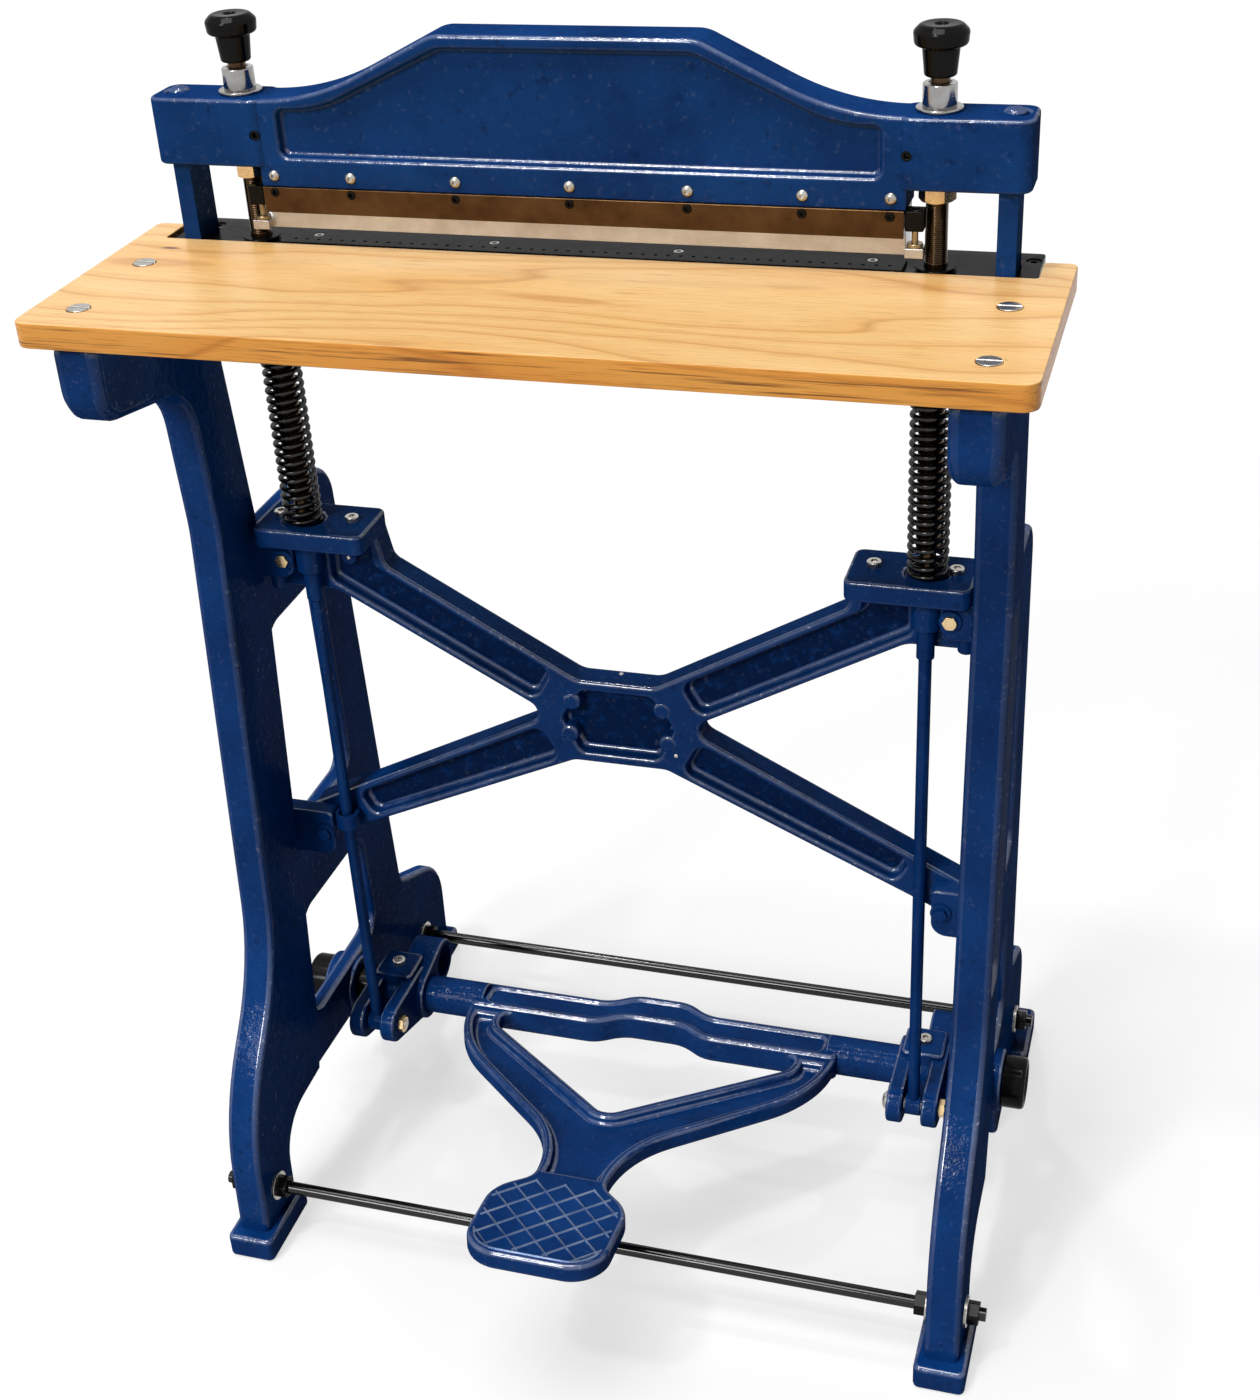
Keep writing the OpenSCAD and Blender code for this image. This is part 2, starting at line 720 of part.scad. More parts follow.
module clamp_screws() {
    color(black) in_place() for (x = screw_x) {
        rod_along_y(3, clamp_front + 3, clamp_back + 5, x, rail_z - 4);
        translate([x, clamp_front + 4, rail_z - 4]) rotate([90, 0, 0]) difference() {
            cylinder(d = 6.6, h = 4.5);
            translate([0, 0, 2]) cylinder(d = 3.4, h = 4, $fn = 6);
        }
    }
}

module guide_post() {
    difference() {
        box([post_x - post_w / 2, post_y[0], seat_z + 5], [post_x + post_w / 2, post_y[1], box_z]);
        rod_along_z(8, box_z - 24, box_z + 1, post_x, 0);
    }
}

module guide_post_left() {
    color(enamel) in_place() mirror([1, 0, 0]) guide_post();
}

module guide_post_right() {
    color(enamel) in_place() guide_post();
}

module post_bolts() {
    color(enamel) in_place() each_side() {
        rod_along_z(8, box_z - 23, box_top - 3, post_x, 0);
        rod_along_z(17, box_top - 4, box_top + 0.5, post_x, 0);
    }
}

// Rods through head, bed, spring and bracket

shank_d = 13;
spigot_w = pull_d - 3;
core_z = spring_z + stroke + 6;
coupling_z = boss_z - 28.5;
stud_d = 10;
neck_d = 14;
ferrule_h = 16.5;
washer_t = 3;
ferrule_z = box_top + washer_t;
knob_gap = 4.5;
knob_z = ferrule_z + ferrule_h + knob_gap;
knob_h = 36;

module spring_rod() {
    rod_along_z(stud_d, coupling_z + 14, boss_z, 0, 0);
    rod_along_z(shank_d, boss_z - 0.5, core_z + eps, 0, 0);
    rod_along_z(core_d, core_z, spring_top + 8, 0, 0);
    rod_along_z(rod_d, spring_top + 7, ferrule_z + ferrule_h, 0, 0);
    rod_along_z(neck_d, ferrule_z + ferrule_h - 1, knob_z - slip, 0, 0);
    rod_along_z(stud_d, knob_z - 1, knob_z + knob_h - 12, 0, 0);
}

module spring_rod_left() {
    color(steel) in_place() translate([-rod_x, 0, 0]) spring_rod();
}

module spring_rod_right() {
    color(steel) in_place() translate([rod_x, 0, 0]) spring_rod();
}

module rod_nuts() {
    color(brass) in_place() each_side() translate([rod_x, 0, box_z - 13]) difference() {
        cylinder(d = 24 / cos(30), h = 13, $fn = 6);
        translate([0, 0, -1]) cylinder(d = rod_d, h = 15);
    }
}

module ferrules() {
    wall = [[rod_d / 2, 0, 0], [12.5, 0, 0], [12.5, ferrule_h, 1.5], [rod_d / 2, ferrule_h, 0]];
    color(chrome) in_place() each_side() translate([rod_x, 0, ferrule_z])
        rotate_extrude() polygon(rounded(wall));
}

module ferrule_washers() {
    color(chrome) in_place() each_side() difference() {
        rod_along_z(34, box_top, box_top + washer_t, rod_x, 0);
        rod_along_z(rod_d, box_top - 1, box_top + washer_t + 1, rod_x, 0);
    }
}

module spring_collars() {
    color(black) in_place() each_side() difference() {
        rod_along_z(spring_d + 2, spring_top, spring_top + 12, rod_x, 0);
        rod_along_z(core_d, spring_top - 1, spring_top + 8, rod_x, 0);
        rod_along_z(rod_d, spring_top, spring_top + 13, rod_x, 0);
    }
}

module rod_couplings() {
    color(enamel) in_place() each_side() difference() {
        rod_along_z(pull_d + 4, coupling_z, boss_z - 0.5, rod_x, 0);
        rod_along_z(stud_d, coupling_z + 13, boss_z, rod_x, 0);
        rod_along_z(spigot_w + 2.4, coupling_z - 1, coupling_z + 14, rod_x, 0);
    }
}

// Stripper, sprung under the needle bar

tab_y = [clamp_front + 2, -rod_d / 2 - 2];
stud_at = [bar_l / 2 + 7, (tab_y[0] + tab_y[1]) / 2];
tab_t = 7;
tab_end = bar_l / 2 + 14;
collar_t = 3;
strip_front = clamp_back + slip;
strip_h = rail_z - 8 - strip_z - strip_rise - 0.4;
guide_low = strip_z + tab_t + collar_t + strip_rise + 0.6;

module stripper_blocks() {
    color(black) in_place() each_side() difference() {
        box([bar_l / 2, tab_y[0] - 1, guide_low], [tab_end, tab_y[1] + 0.5, rail_z]);
        rod_along_z(5 + 2 * run, guide_low - 1, rail_z + 1, stud_at[0], stud_at[1]);
    }
}

module lock_screws() {
    color(black) in_place() each_side() translate([lock_x, head_front - box_proud + 6, lock_z])
        rotate([90, 0, 0]) difference() {
            cylinder(d = 8, h = 5);
            translate([0, 0, 2]) cylinder(d = 4.6, h = 4, $fn = 6);
        }
}

module stripper_bar() {
    color(steel) in_place() difference() {
        union() {
            box([-bar_l / 2, strip_front, strip_z], [bar_l / 2, block_back - 1, strip_z + strip_h]);
            each_side() {
                box([bar_l / 2 - 5, strip_front, strip_z], [tab_end, tab_y[1], strip_z + tab_t]);
                box([bar_l / 2 + slip, tab_y[0], strip_z], [tab_end, tab_y[1], strip_z + tab_t]);
            }
        }
        needle_holes(strip_z - 1, strip_z + strip_h + 1, needle_d + 2 * slip);
        each_side() rod_along_z(5, strip_z - 1, strip_z + tab_t + 1, stud_at[0], stud_at[1]);
    }
}

module stripper_studs() {
    color(brass) in_place() each_side() {
        rod_along_z(5, strip_z + 0.5, rail_z - strip_rise - 1, stud_at[0], stud_at[1]);
        rod_along_z(12, strip_z + tab_t, strip_z + tab_t + collar_t, stud_at[0], stud_at[1]);
    }
}

// Knobs

cap_h = 15;
cap_z = knob_h - cap_h;
knob_outline = [[0, 0, 0], [11.6, 0, 2], [13.6, cap_z, 2], [knob_d / 2 - 1, cap_z, 3],
    [knob_d / 2, knob_h - 5, 4], [knob_d / 2 - 5, knob_h, 5], [5, knob_h - 0.5, 1.5],
    [4, knob_h - 2.5, 1], [0, knob_h - 2.5, 0]];

module knob() {
    translate([0, 0, knob_z]) difference() {
        rotate_extrude() polygon(rounded(knob_outline, 5));
        translate([0, 0, -1]) cylinder(d = stud_d + 2 * run, h = knob_h - 10);
    }
}

module knob_left() {
    color(black) in_place() translate([-rod_x, 0, 0]) knob();
}

module knob_right() {
    color(black) in_place() translate([rod_x, 0, 0]) knob();
}

// Treadle: fork, pedal and bar in one casting, drawn in x and the distance v ahead of the pivot

bar_r = bar_d / 2;
pedal_v = treadle_l - 102;
neck = 33;
wave = 18;
bar_edge = 24;
treadle_outline = both_sides([[28, -bar_r - wave, 16], [52, -bar_r, 16], [fork_half, -bar_r, 8],
    [fork_half, 20, 0], [fork_half - 8, 82, 60], [neck + 3, treadle_l - 174, 70], [neck, pedal_v + 2, 14],
    [pedal_w / 2, pedal_v + 6, 36], [pedal_w / 2, treadle_l, 34]]);
opening_outline = both_sides([[30, bar_edge - wave, 16], [55, bar_edge, 16], [fork_half - 38, bar_edge, 10],
    [fork_half - 42, 50, 18], [6, treadle_l - 224, 8]]);
rim_t = 8;
floor_depth = 6;
spigot_d = 22;

// Puts x, v and the height w over the treadle's middle plane into the machine
module on_treadle() {
    in_place() translate([0, pivot_y, pivot_h]) rotate([-tilt, 0, 0]) mirror([0, 1, 0]) children();
}

module treadle_plan() {
    difference() {
        polygon(rounded(treadle_outline));
        polygon(rounded(opening_outline));
    }
}

// Channels between the rims, over the stretch from v0 to v1
module channel_plan(v0, v1, half) {
    intersection() {
        difference() {
            polygon(rounded(inset(treadle_outline, rim_t)));
            polygon(rounded(inset(opening_outline, -rim_t)));
        }
        translate([-half, v0]) square([2 * half, v1 - v0]);
    }
}

module at_height(w0, w1) {
    translate([0, 0, w0]) linear_extrude(w1 - w0) children();
}

module treadle_casting() {
    bar_top = arm_t / 2 + 3;
    color(enamel) on_treadle() difference() {
        union() {
            at_height(-arm_t / 2, arm_t / 2) treadle_plan();
            at_height(-bar_r + 4, bar_top) intersection() {
                treadle_plan();
                translate([-fork_half, -bar_d]) square([2 * fork_half, bar_d + bar_edge]);
            }
            each_side() rod_along_x(bar_d, fork_half - 12, rod_x + crank_half + 1, 0, 0);
        }
        at_height(arm_t / 2 - floor_depth, bar_d) channel_plan(bar_edge + rim_t, pedal_v - 20, fork_half);
        at_height(bar_top - floor_depth, bar_d) channel_plan(-bar_d, bar_edge - rim_t, fork_half - 16);
        each_side() rod_along_x(spigot_d, rod_x - 10, rod_x + crank_half + 2, 0, 0);
    }
}

// Crank: split clamp round the bar, two ears for the clevis pin and a tubular boss at the back
boss_back = [40, 12];

module crank() {
    difference() {
        union() {
            for (x = [rod_x - crank_half, rod_x + ear_gap / 2]) along_x(x, x + ear_t)
                link_2d([pivot_y, pivot_h], 29, [0, pin_z], 19);
            rod_along_x(58, rod_x - crank_half, rod_x + crank_half, pivot_y, pivot_h);
            rounded_box([rod_x - 20, pivot_y - 20, pivot_h], [rod_x + 20, pivot_y + 20, pivot_h + 34], 5);
            along_x(rod_x, rod_x + crank_half + 8)
                link_2d([pivot_y, pivot_h], 26, [pivot_y + boss_back[0], pivot_h + boss_back[1]], 23);
        }
        rod_along_x(bar_d, rod_x - 40, rod_x + 40, pivot_y, pivot_h);
        rod_along_x(bar_d + 2, rod_x + crank_half, rod_x + crank_half + 20, pivot_y, pivot_h);
        rod_along_x(34, rod_x + 6, rod_x + 60, pivot_y + boss_back[0], pivot_h + boss_back[1]);
        rod_along_x(pin_d + 0.1, rod_x - 40, rod_x + 40, 0, pin_z);
        rod_along_z(8.2, pivot_h, pivot_h + 40, rod_x, pivot_y);
    }
}

module crank_left() {
    color(enamel) in_place() translate([-rod_span, 0, 0]) crank();
}

module crank_right() {
    color(enamel) in_place() crank();
}

module crank_screws() {
    color(steel) in_place() each_side() {
        rod_along_z(8, pivot_h + bar_r, pivot_h + 36, rod_x, pivot_y);
        rod_along_z(14, pivot_h + 34, pivot_h + 40, rod_x, pivot_y);
    }
}

clevis_reach = crank_half + 8;

module clevis_pin() {
    rod_along_x(pin_d, -crank_half - 1, clevis_reach, 0, pin_z);
    rod_along_x(17, -crank_half - 6, -crank_half, 0, pin_z);
}

module clevis_pin_left() {
    color(steel) in_place() translate([-rod_x, 0, 0]) clevis_pin();
}

module clevis_pin_right() {
    color(steel) in_place() translate([rod_x, 0, 0]) clevis_pin();
}

module clevis_nuts() {
    color(steel) in_place() for (x = [-rod_x, rod_x]) difference() {
        rod_along_x(17, x + crank_half, x + crank_half + 6, 0, pin_z);
        rod_along_x(pin_d, x + crank_half - 1, x + crank_half + 7, 0, pin_z);
    }
}

module pivot_stub() {
    rod_along_x(spigot_d, rod_x - 9, rod_x + crank_half + 2, pivot_y, pivot_h);
    rod_along_x(bar_d + 1, rod_x + crank_half + 1, frame_in - 0.6, pivot_y, pivot_h);
    rod_along_x(shaft_d, frame_in - 1, frame_out + 18, pivot_y, pivot_h);
}

module pivot_stub_left() {
    color(black) in_place() mirror([1, 0, 0]) pivot_stub();
}

module pivot_stub_right() {
    color(black) in_place() pivot_stub();
}

module pivot_hubs() {
    color(black) in_place() each_side() difference() {
        rod_along_x(50, frame_out + 0.6, frame_out + 22, pivot_y, pivot_h);
        rod_along_x(shaft_d, frame_out - 1, frame_out + 30, pivot_y, pivot_h);
    }
}

// Pull rods from the clevis pins up into the couplings

module pull_rod() {
    difference() {
        union() {
            rod_along_z(pull_d, pin_z, coupling_z - 1, 0, 0);
            rod_along_z(spigot_w, coupling_z - 2, coupling_z + 12.5, 0, 0);
            rod_along_x(20, -7, 7, 0, pin_z);
        }
        rod_along_x(pin_d + 2 * run, -10, 10, 0, pin_z);
    }
}

module pull_rod_left() {
    color(enamel) in_place() translate([-rod_x, 0, 0]) pull_rod();
}

module pull_rod_right() {
    color(enamel) in_place() translate([rod_x, 0, 0]) pull_rod();
}

side_frame_left();
side_frame_right();
cross_brace();
brace_bolts();
brace_nuts();
bracket_screws();
rod_guide();
tie_rod_front();
tie_rod_rear();
tie_rod_nuts();
tie_rod_washers();
bed_casting();
bed_bolts();
die_plate();
die_screws();
table_board();
table_screws();
rod_bushes();
pivot_bushes();
return_spring_left();
return_spring_right();
head_casting();
needle_block();
needle_clamp();
needle_row();
rail_screws();
clamp_screws();
guide_post_left();
guide_post_right();
post_bolts();
spring_rod_left();
spring_rod_right();
rod_nuts();
ferrules();
ferrule_washers();
spring_collars();
rod_couplings();
stripper_blocks();
lock_screws();
stripper_bar();
stripper_studs();
knob_left();
knob_right();
treadle_casting();
crank_left();
crank_right();
crank_screws();
clevis_pin_left();
clevis_pin_right();
clevis_nuts();
pivot_stub_left();
pivot_stub_right();
pivot_hubs();
pull_rod_left();
pull_rod_right();
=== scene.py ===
"""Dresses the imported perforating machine: cast enamel, wood, steel, springs, fasteners, light and camera."""
import json
from math import acos, atan2, copysign, cos, pi, radians, sin, tan, tau

import bmesh
import bpy
from mathutils import Matrix, Vector
from mathutils.geometry import delaunay_2d_cdt


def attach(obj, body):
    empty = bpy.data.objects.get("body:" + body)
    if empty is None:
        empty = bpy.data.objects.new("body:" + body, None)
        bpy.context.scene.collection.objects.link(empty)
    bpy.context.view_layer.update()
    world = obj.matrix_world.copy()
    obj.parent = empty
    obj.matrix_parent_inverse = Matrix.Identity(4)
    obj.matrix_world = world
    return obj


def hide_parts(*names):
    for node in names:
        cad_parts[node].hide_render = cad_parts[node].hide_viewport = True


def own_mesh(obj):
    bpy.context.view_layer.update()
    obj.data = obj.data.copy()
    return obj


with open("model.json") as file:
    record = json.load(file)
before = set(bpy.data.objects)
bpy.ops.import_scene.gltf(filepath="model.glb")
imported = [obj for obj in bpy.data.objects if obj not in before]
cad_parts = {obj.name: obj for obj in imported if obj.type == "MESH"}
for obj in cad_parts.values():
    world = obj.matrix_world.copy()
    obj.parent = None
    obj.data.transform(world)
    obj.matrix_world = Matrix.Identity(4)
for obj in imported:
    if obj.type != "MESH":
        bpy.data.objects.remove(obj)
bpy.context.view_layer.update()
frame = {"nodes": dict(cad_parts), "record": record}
nodes = frame["nodes"]
body_of_node = {n: body for body, members in frame["record"]["behaviour"]["bodies"].items() for n in members}
slot_of_node = {part["node"]: part["material_slot"] for part in frame["record"]["subparts"]}
replaced = set()
scene = bpy.context.scene

# Sizes of the machine in millimetres, y counted from the plane of the lifting rods
MM = 0.001
SIDES = (-1, 1)
ROD_Y = 10.6655
ROD_X = 273
FRAME_X, FRAME_IN, FRAME_OUT = 333.5, 318, 349
WEB_IN, WEB_OUT = 322, 340
SEAT_Z, TABLE_Z, BED_TOP = 935, 955, 952
RAIL_Z, BOX_Z, BOX_TOP, CROWN_Z = 1002, 1017, 1069, 1120
HEAD_FRONT, HEAD_BACK = -22.5, 17.5
PIVOT = (64.1456, 126)
PIN_Z = 136.504
TILT = radians(8)
BRACE_Z, BRACKET_Z, BOSS_Z, BOSS_TOP = 518, 700, 650.5, 690
WALL_Y, WALL_END, BRACE_D = 9, 312, 27
BOLT_X, BOLT_LOW, BOLT_HIGH = 294, 371, 663
SPRING_LOW, SPRING_TOP = 697, 884


# Material helpers

MIX_FACTOR, MIX_FIRST, MIX_SECOND, MIX_RESULT = 0, 6, 7, 2


class Nodes:
    """A node tree with short calls for adding nodes and links."""

    def __init__(self, tree):
        self.tree = tree

    def add(self, kind, inputs=None, **settings):
        node = self.tree.nodes.new("ShaderNode" + kind)
        for key, value in settings.items():
            setattr(node, key, value)
        for key, value in (inputs or {}).items():
            if isinstance(value, bpy.types.NodeSocket):
                self.tree.links.new(value, node.inputs[key])
            else:
                node.inputs[key].default_value = value
        return node

    def math(self, operation, a, b=0.0):
        return self.add("Math", {0: a, 1: b}, operation=operation).outputs[0]

    def ranged(self, value, low, high, to_low=0.0, to_high=1.0):
        return self.add("MapRange", {"Value": value, "From Min": low, "From Max": high, "To Min": to_low,
                                     "To Max": to_high}).outputs["Result"]

    def seen(self):
        """1 for rays from the camera, mirrors and glass, and 0 for the rest."""
        path = self.add("LightPath")
        seen = path.outputs["Is Camera Ray"]
        for ray in ("Is Glossy Ray", "Is Transmission Ray"):
            seen = self.math("MAXIMUM", seen, path.outputs[ray])
        return seen


class Shader(Nodes):
    """The nodes of a new material, with values for its shader's sockets."""

    def __init__(self, name, **settings):
        self.material = bpy.data.materials.new(name)
        self.material.use_nodes = True
        super().__init__(self.material.node_tree)
        self.bsdf = self.tree.nodes["Principled BSDF"]
        for socket, value in settings.items():
            self.bsdf.inputs[socket.replace("_", " ")].default_value = value
        self.coords = self.add("TexCoord").outputs["Object"]

    def stretched(self, scale, location=(0, 0, 0)):
        """Object coordinates scaled per axis."""
        inputs = {"Vector": self.coords, "Scale": scale, "Location": location}
        return self.add("Mapping", inputs).outputs["Vector"]

    def noise(self, scale, detail=2.0, roughness=0.5, distortion=0.0, vector=None):
        return self.add("TexNoise", {"Vector": vector or self.coords, "Scale": scale, "Detail": detail,
                                     "Roughness": roughness, "Distortion": distortion}).outputs["Fac"]

    def ramp(self, fac, stops):
        node = self.add("ValToRGB", {"Fac": fac})
        band = node.color_ramp
        while len(band.elements) < len(stops):
            band.elements.new(0.5)
        for element, (position, colour) in zip(band.elements, stops):
            element.position = position
            element.color = (*colour, 1)
        return node.outputs["Color"]

    def mixed(self, fac, a, b, mode="MIX"):
        sockets = ((MIX_FACTOR, fac), (MIX_FIRST, a), (MIX_SECOND, b))
        inputs = {key: (*value, 1) if isinstance(value, tuple) else value for key, value in sockets}
        return self.add("Mix", inputs, data_type="RGBA", blend_type=mode).outputs[MIX_RESULT]

    def bump(self, height, strength, distance, below=None):
        inputs = {"Height": height, "Strength": strength, "Distance": distance}
        if below:
            inputs["Normal"] = below
        return self.add("Bump", inputs).outputs["Normal"]

    def upright(self):
        """How far the surface faces upwards, from -1 to 1."""
        return self.add("SeparateXYZ", {0: self.add("NewGeometry").outputs["Normal"]}).outputs["Z"]

    def wire(self, **sockets):
        for name, source in sockets.items():
            self.tree.links.new(source, self.bsdf.inputs[name.replace("_", " ")])
        return self.material


def grey(value):
    return (value, value, value)


# Materials

BLUE_LOW, BLUE_HIGH = (0.0026, 0.032, 0.148), (0.005, 0.05, 0.212)
# The dark blue is grime, and painted shade where it covers recess floors; the pale blue is worn paint and
# painted highlight on upper edges.
BLUE_GRIME_AND_SHADE, BLUE_WORN_HIGHLIGHT = (0.002, 0.016, 0.075), (0.26, 0.36, 0.58)


def enamel_material(name, coat, speck, relief, wear=0.0, shade_in_recesses=0.0):
    """Thick blue paint on a rough casting: pitted, with most gloss on specks and on upper edges; paler upper
    edges, partly wear and partly painted highlight; and darker paint as painted shade in recesses.
    """
    s = Shader(name, Specular_IOR_Level=0.0, Coat_IOR=4.0, Coat_Roughness=0.1)
    tint = s.mixed(s.ranged(s.noise(14.0, 3.0), 0.35, 0.65), BLUE_LOW, BLUE_HIGH)
    # Darker mottling: grime at random; with the last argument raised it covers the whole surface as painted
    # shade for recess floors.
    grime_and_recess_shade = s.ranged(s.noise(95.0, 5.0, 0.65), 0.58 - shade_in_recesses, 0.78 - shade_in_recesses)
    colour = s.mixed(grime_and_recess_shade, tint, BLUE_GRIME_AND_SHADE)
    gloss = s.ranged(s.noise(230.0, 3.0, 0.6, 0.6), 0.6, 0.75, coat, coat + speck)
    if wear:
        # Paler paint on edges facing upwards, chosen by surface direction: partly wear and partly a painted
        # highlight where top light catches them; noise breaks it into patches. The coat also gets more weight
        # facing up.
        upright = s.upright()
        painted_edge_highlight = s.ramp(upright, [(0.3, grey(0)), (0.6, grey(1)), (0.85, grey(1)), (0.98, grey(0))])
        patches = s.ranged(s.noise(60.0, 4.0, 0.6), 0.4, 0.62, 0.25, 1.0)
        worn = s.math("MULTIPLY", s.math("MULTIPLY", painted_edge_highlight, patches), wear)
        colour = s.mixed(worn, colour, BLUE_WORN_HIGHLIGHT)
        gloss = s.math("MULTIPLY", gloss, s.ranged(upright, 0.0, 0.55, 0.25, 1.4))
    rough = s.ranged(s.noise(160.0, 3.0), 0.3, 0.7, 0.2, 0.34)
    skin = s.bump(s.noise(110.0, 2.0, 0.5), 0.6 * relief, 0.0014)
    pits = s.bump(s.noise(420.0, 2.0, 0.5), 0.4 * relief, 0.0006, skin)
    return s.wire(Base_Color=colour, Roughness=rough, Normal=pits, Coat_Normal=pits, Coat_Weight=gloss)


def wood_material():
    """Honey-coloured varnished board with its grain along X, browner edges and one knot."""
    ring, early, pale, late = (0.6, 0.24, 0.05), (0.9, 0.48, 0.145), (0.99, 0.64, 0.27), (0.96, 0.56, 0.2)
    cloud_dark, cloud_pale = (0.94, 0.53, 0.185), (0.99, 0.67, 0.29)
    fibre_brown, vein_brown, knot_brown = (0.55, 0.22, 0.045), (0.26, 0.085, 0.014), (0.14, 0.05, 0.012)
    edge_tone = (0.99, 0.69, 0.31)
    s = Shader("wood", Specular_IOR_Level=0.3, Coat_Weight=0.1, Coat_Roughness=0.22)
    warp = s.noise(1.0, 2.0, 0.45, vector=s.stretched((1.7, 7.0, 7.0)))
    place = s.add("SeparateXYZ", {0: s.coords})
    across_grain = s.math("ADD", place.outputs["Y"], s.math("MULTIPLY", place.outputs["Z"], 0.8))
    rings = s.math("ADD", s.math("MULTIPLY", across_grain, 34.0), s.math("MULTIPLY", warp, 9.0))
    stops = [(0.0, ring), (0.08, early), (0.5, pale), (0.92, late), (1.0, ring)]
    figure = s.ramp(s.math("FRACT", rings), stops)
    clouds = s.ranged(s.noise(1.0, 3.0, vector=s.stretched((3.0, 14.0, 14.0), (4, 1, 0))), 0.35, 0.7)
    base = s.mixed(0.42, figure, s.mixed(clouds, cloud_dark, cloud_pale))
    fibre = s.noise(1.0, 4.0, 0.65, vector=s.stretched((22.0, 800.0, 800.0)))
    streaks = s.ranged(fibre, 0.52, 0.72)
    grained = s.mixed(s.math("MULTIPLY", streaks, 0.75), base, fibre_brown)
    edge = s.ranged(s.math("ABSOLUTE", s.upright()), 0.8, 0.3)
    veins = s.ranged(s.noise(1.0, 4.0, 0.6, vector=s.stretched((7.0, 60.0, 420.0))), 0.56, 0.68)
    side = s.mixed(veins, s.mixed(1.0, grained, edge_tone, "MULTIPLY"), vein_brown)
    rough = s.ranged(fibre, 0.3, 0.75, 0.3, 0.46)
    knot_place = s.stretched((75, 280, 0), (25.0, 9.0, 0))
    near_knot = s.add("VectorMath", {0: knot_place}, operation="LENGTH").outputs["Value"]
    knot = s.ranged(s.math("ADD", near_knot, s.noise(90.0, 3.0)), 1.3, 0.9)
    face = s.mixed(knot, grained, knot_brown)
    return s.wire(Base_Color=s.mixed(edge, face, side), Roughness=rough, Normal=s.bump(fibre, 0.12, 0.0004))


def metal_material(name, light, dark, rough, brush=(1, 1, 1), specks=0.0):
    """Bare or plated metal with fine scratches along one axis and faint stains."""
    s = Shader(name, Metallic=1.0)
    stain = s.ranged(s.noise(45.0, 4.0, 0.6), 0.35, 0.7)
    lines = s.noise(1.0, 3.0, 0.6, vector=s.stretched(tuple(900.0 * b for b in brush)))
    colour = s.mixed(stain, light, dark)
    if specks:
        spots = s.ranged(s.noise(420.0, 2.0), 0.64, 0.72)
        colour = s.mixed(s.math("MULTIPLY", spots, specks), colour, (0.09, 0.06, 0.045))
    return s.wire(Base_Color=colour, Roughness=s.ranged(lines, 0.3, 0.7, rough * 0.75, rough * 1.35),
                  Normal=s.bump(lines, 0.06, 0.0003))


def black_material(name, base, worn, rough, skin, gloss=0.02):
    """Black paint or plastic with a faint skin and slightly paler wear."""
    s = Shader(name, Specular_IOR_Level=0.02, Coat_Weight=gloss, Coat_IOR=4.0, Coat_Roughness=0.1)
    wear = s.ranged(s.noise(60.0, 4.0, 0.65), 0.5, 0.8)
    return s.wire(Base_Color=s.mixed(wear, base, worn),
                  Roughness=s.ranged(s.noise(80.0, 3.0), 0.3, 0.7, rough * 0.75, rough * 1.3),
                  Normal=s.bump(s.noise(340.0, 2.0), skin, 0.0004))


ALONG_X, ALONG_X_FINE, ALONG_Z = (0.05, 1, 1), (0.03, 1, 1), (1, 1, 0.05)
enamel = enamel_material("blue_enamel", coat=0.012, speck=0.08, relief=0.9)
# Edge bands: glossier, with paler upper edges, partly wear and partly painted highlight.
enamel_edge = enamel_material("enamel_edge", coat=0.14, speck=0.5, relief=0.35, wear=0.2)
# Floors of the brace's sunk channels: the same paint, darkened all over as painted shade.
enamel_shaded_recess = enamel_material("enamel_shaded_recess", coat=0.004, speck=0.06, relief=0.9, shade_in_recesses=0.3)
steel = metal_material("steel", (0.5, 0.49, 0.46), (0.33, 0.31, 0.28), 0.28, ALONG_X)
chrome = metal_material("chrome", grey(0.36), (0.22, 0.2, 0.18), 0.16, ALONG_Z)
brass = metal_material("brass", (0.75, 0.56, 0.31), (0.5, 0.36, 0.19), 0.24, specks=0.3)
bronze = metal_material("bronze", (0.4, 0.33, 0.2), (0.25, 0.19, 0.11), 0.35, specks=0.3)
brown_steel = metal_material("brown_steel", (0.095, 0.053, 0.024), (0.055, 0.029, 0.012), 0.3, ALONG_X_FINE)
pale_strip = metal_material("pale_strip", grey(0.53), (0.42, 0.4, 0.38), 0.34, ALONG_X_FINE)
rod_steel = metal_material("rod_steel", (0.08, 0.05, 0.028), (0.035, 0.022, 0.012), 0.24, ALONG_Z, specks=0.4)
worn_edge = metal_material("worn_edge", (0.2, 0.25, 0.36), (0.07, 0.12, 0.25), 0.3)
black = black_material("black_metal", grey(0.003), grey(0.007), rough=0.24, skin=0.12)
plastic = black_material("black_plastic", (0.004, 0.0035, 0.003), grey(0.006), rough=0.13, skin=0.04)
spring_black = black_material("spring_black", grey(0.003), grey(0.006), rough=0.2, skin=0.05, gloss=0.09)
look_of_slot = {"blue_enamel": enamel, "wood": wood_material(), "steel": steel, "chrome": chrome,
                "brass": brass, "black_metal": black, "black_plastic": plastic}


# Outline helpers, in millimetres

LEAST_STEP, LEAST_RADIUS = 0.02, 5


def spun(v, angle):
    c, s = cos(angle), sin(angle)
    return Vector((v.x * c - v.y * s, v.x * s + v.y * c))


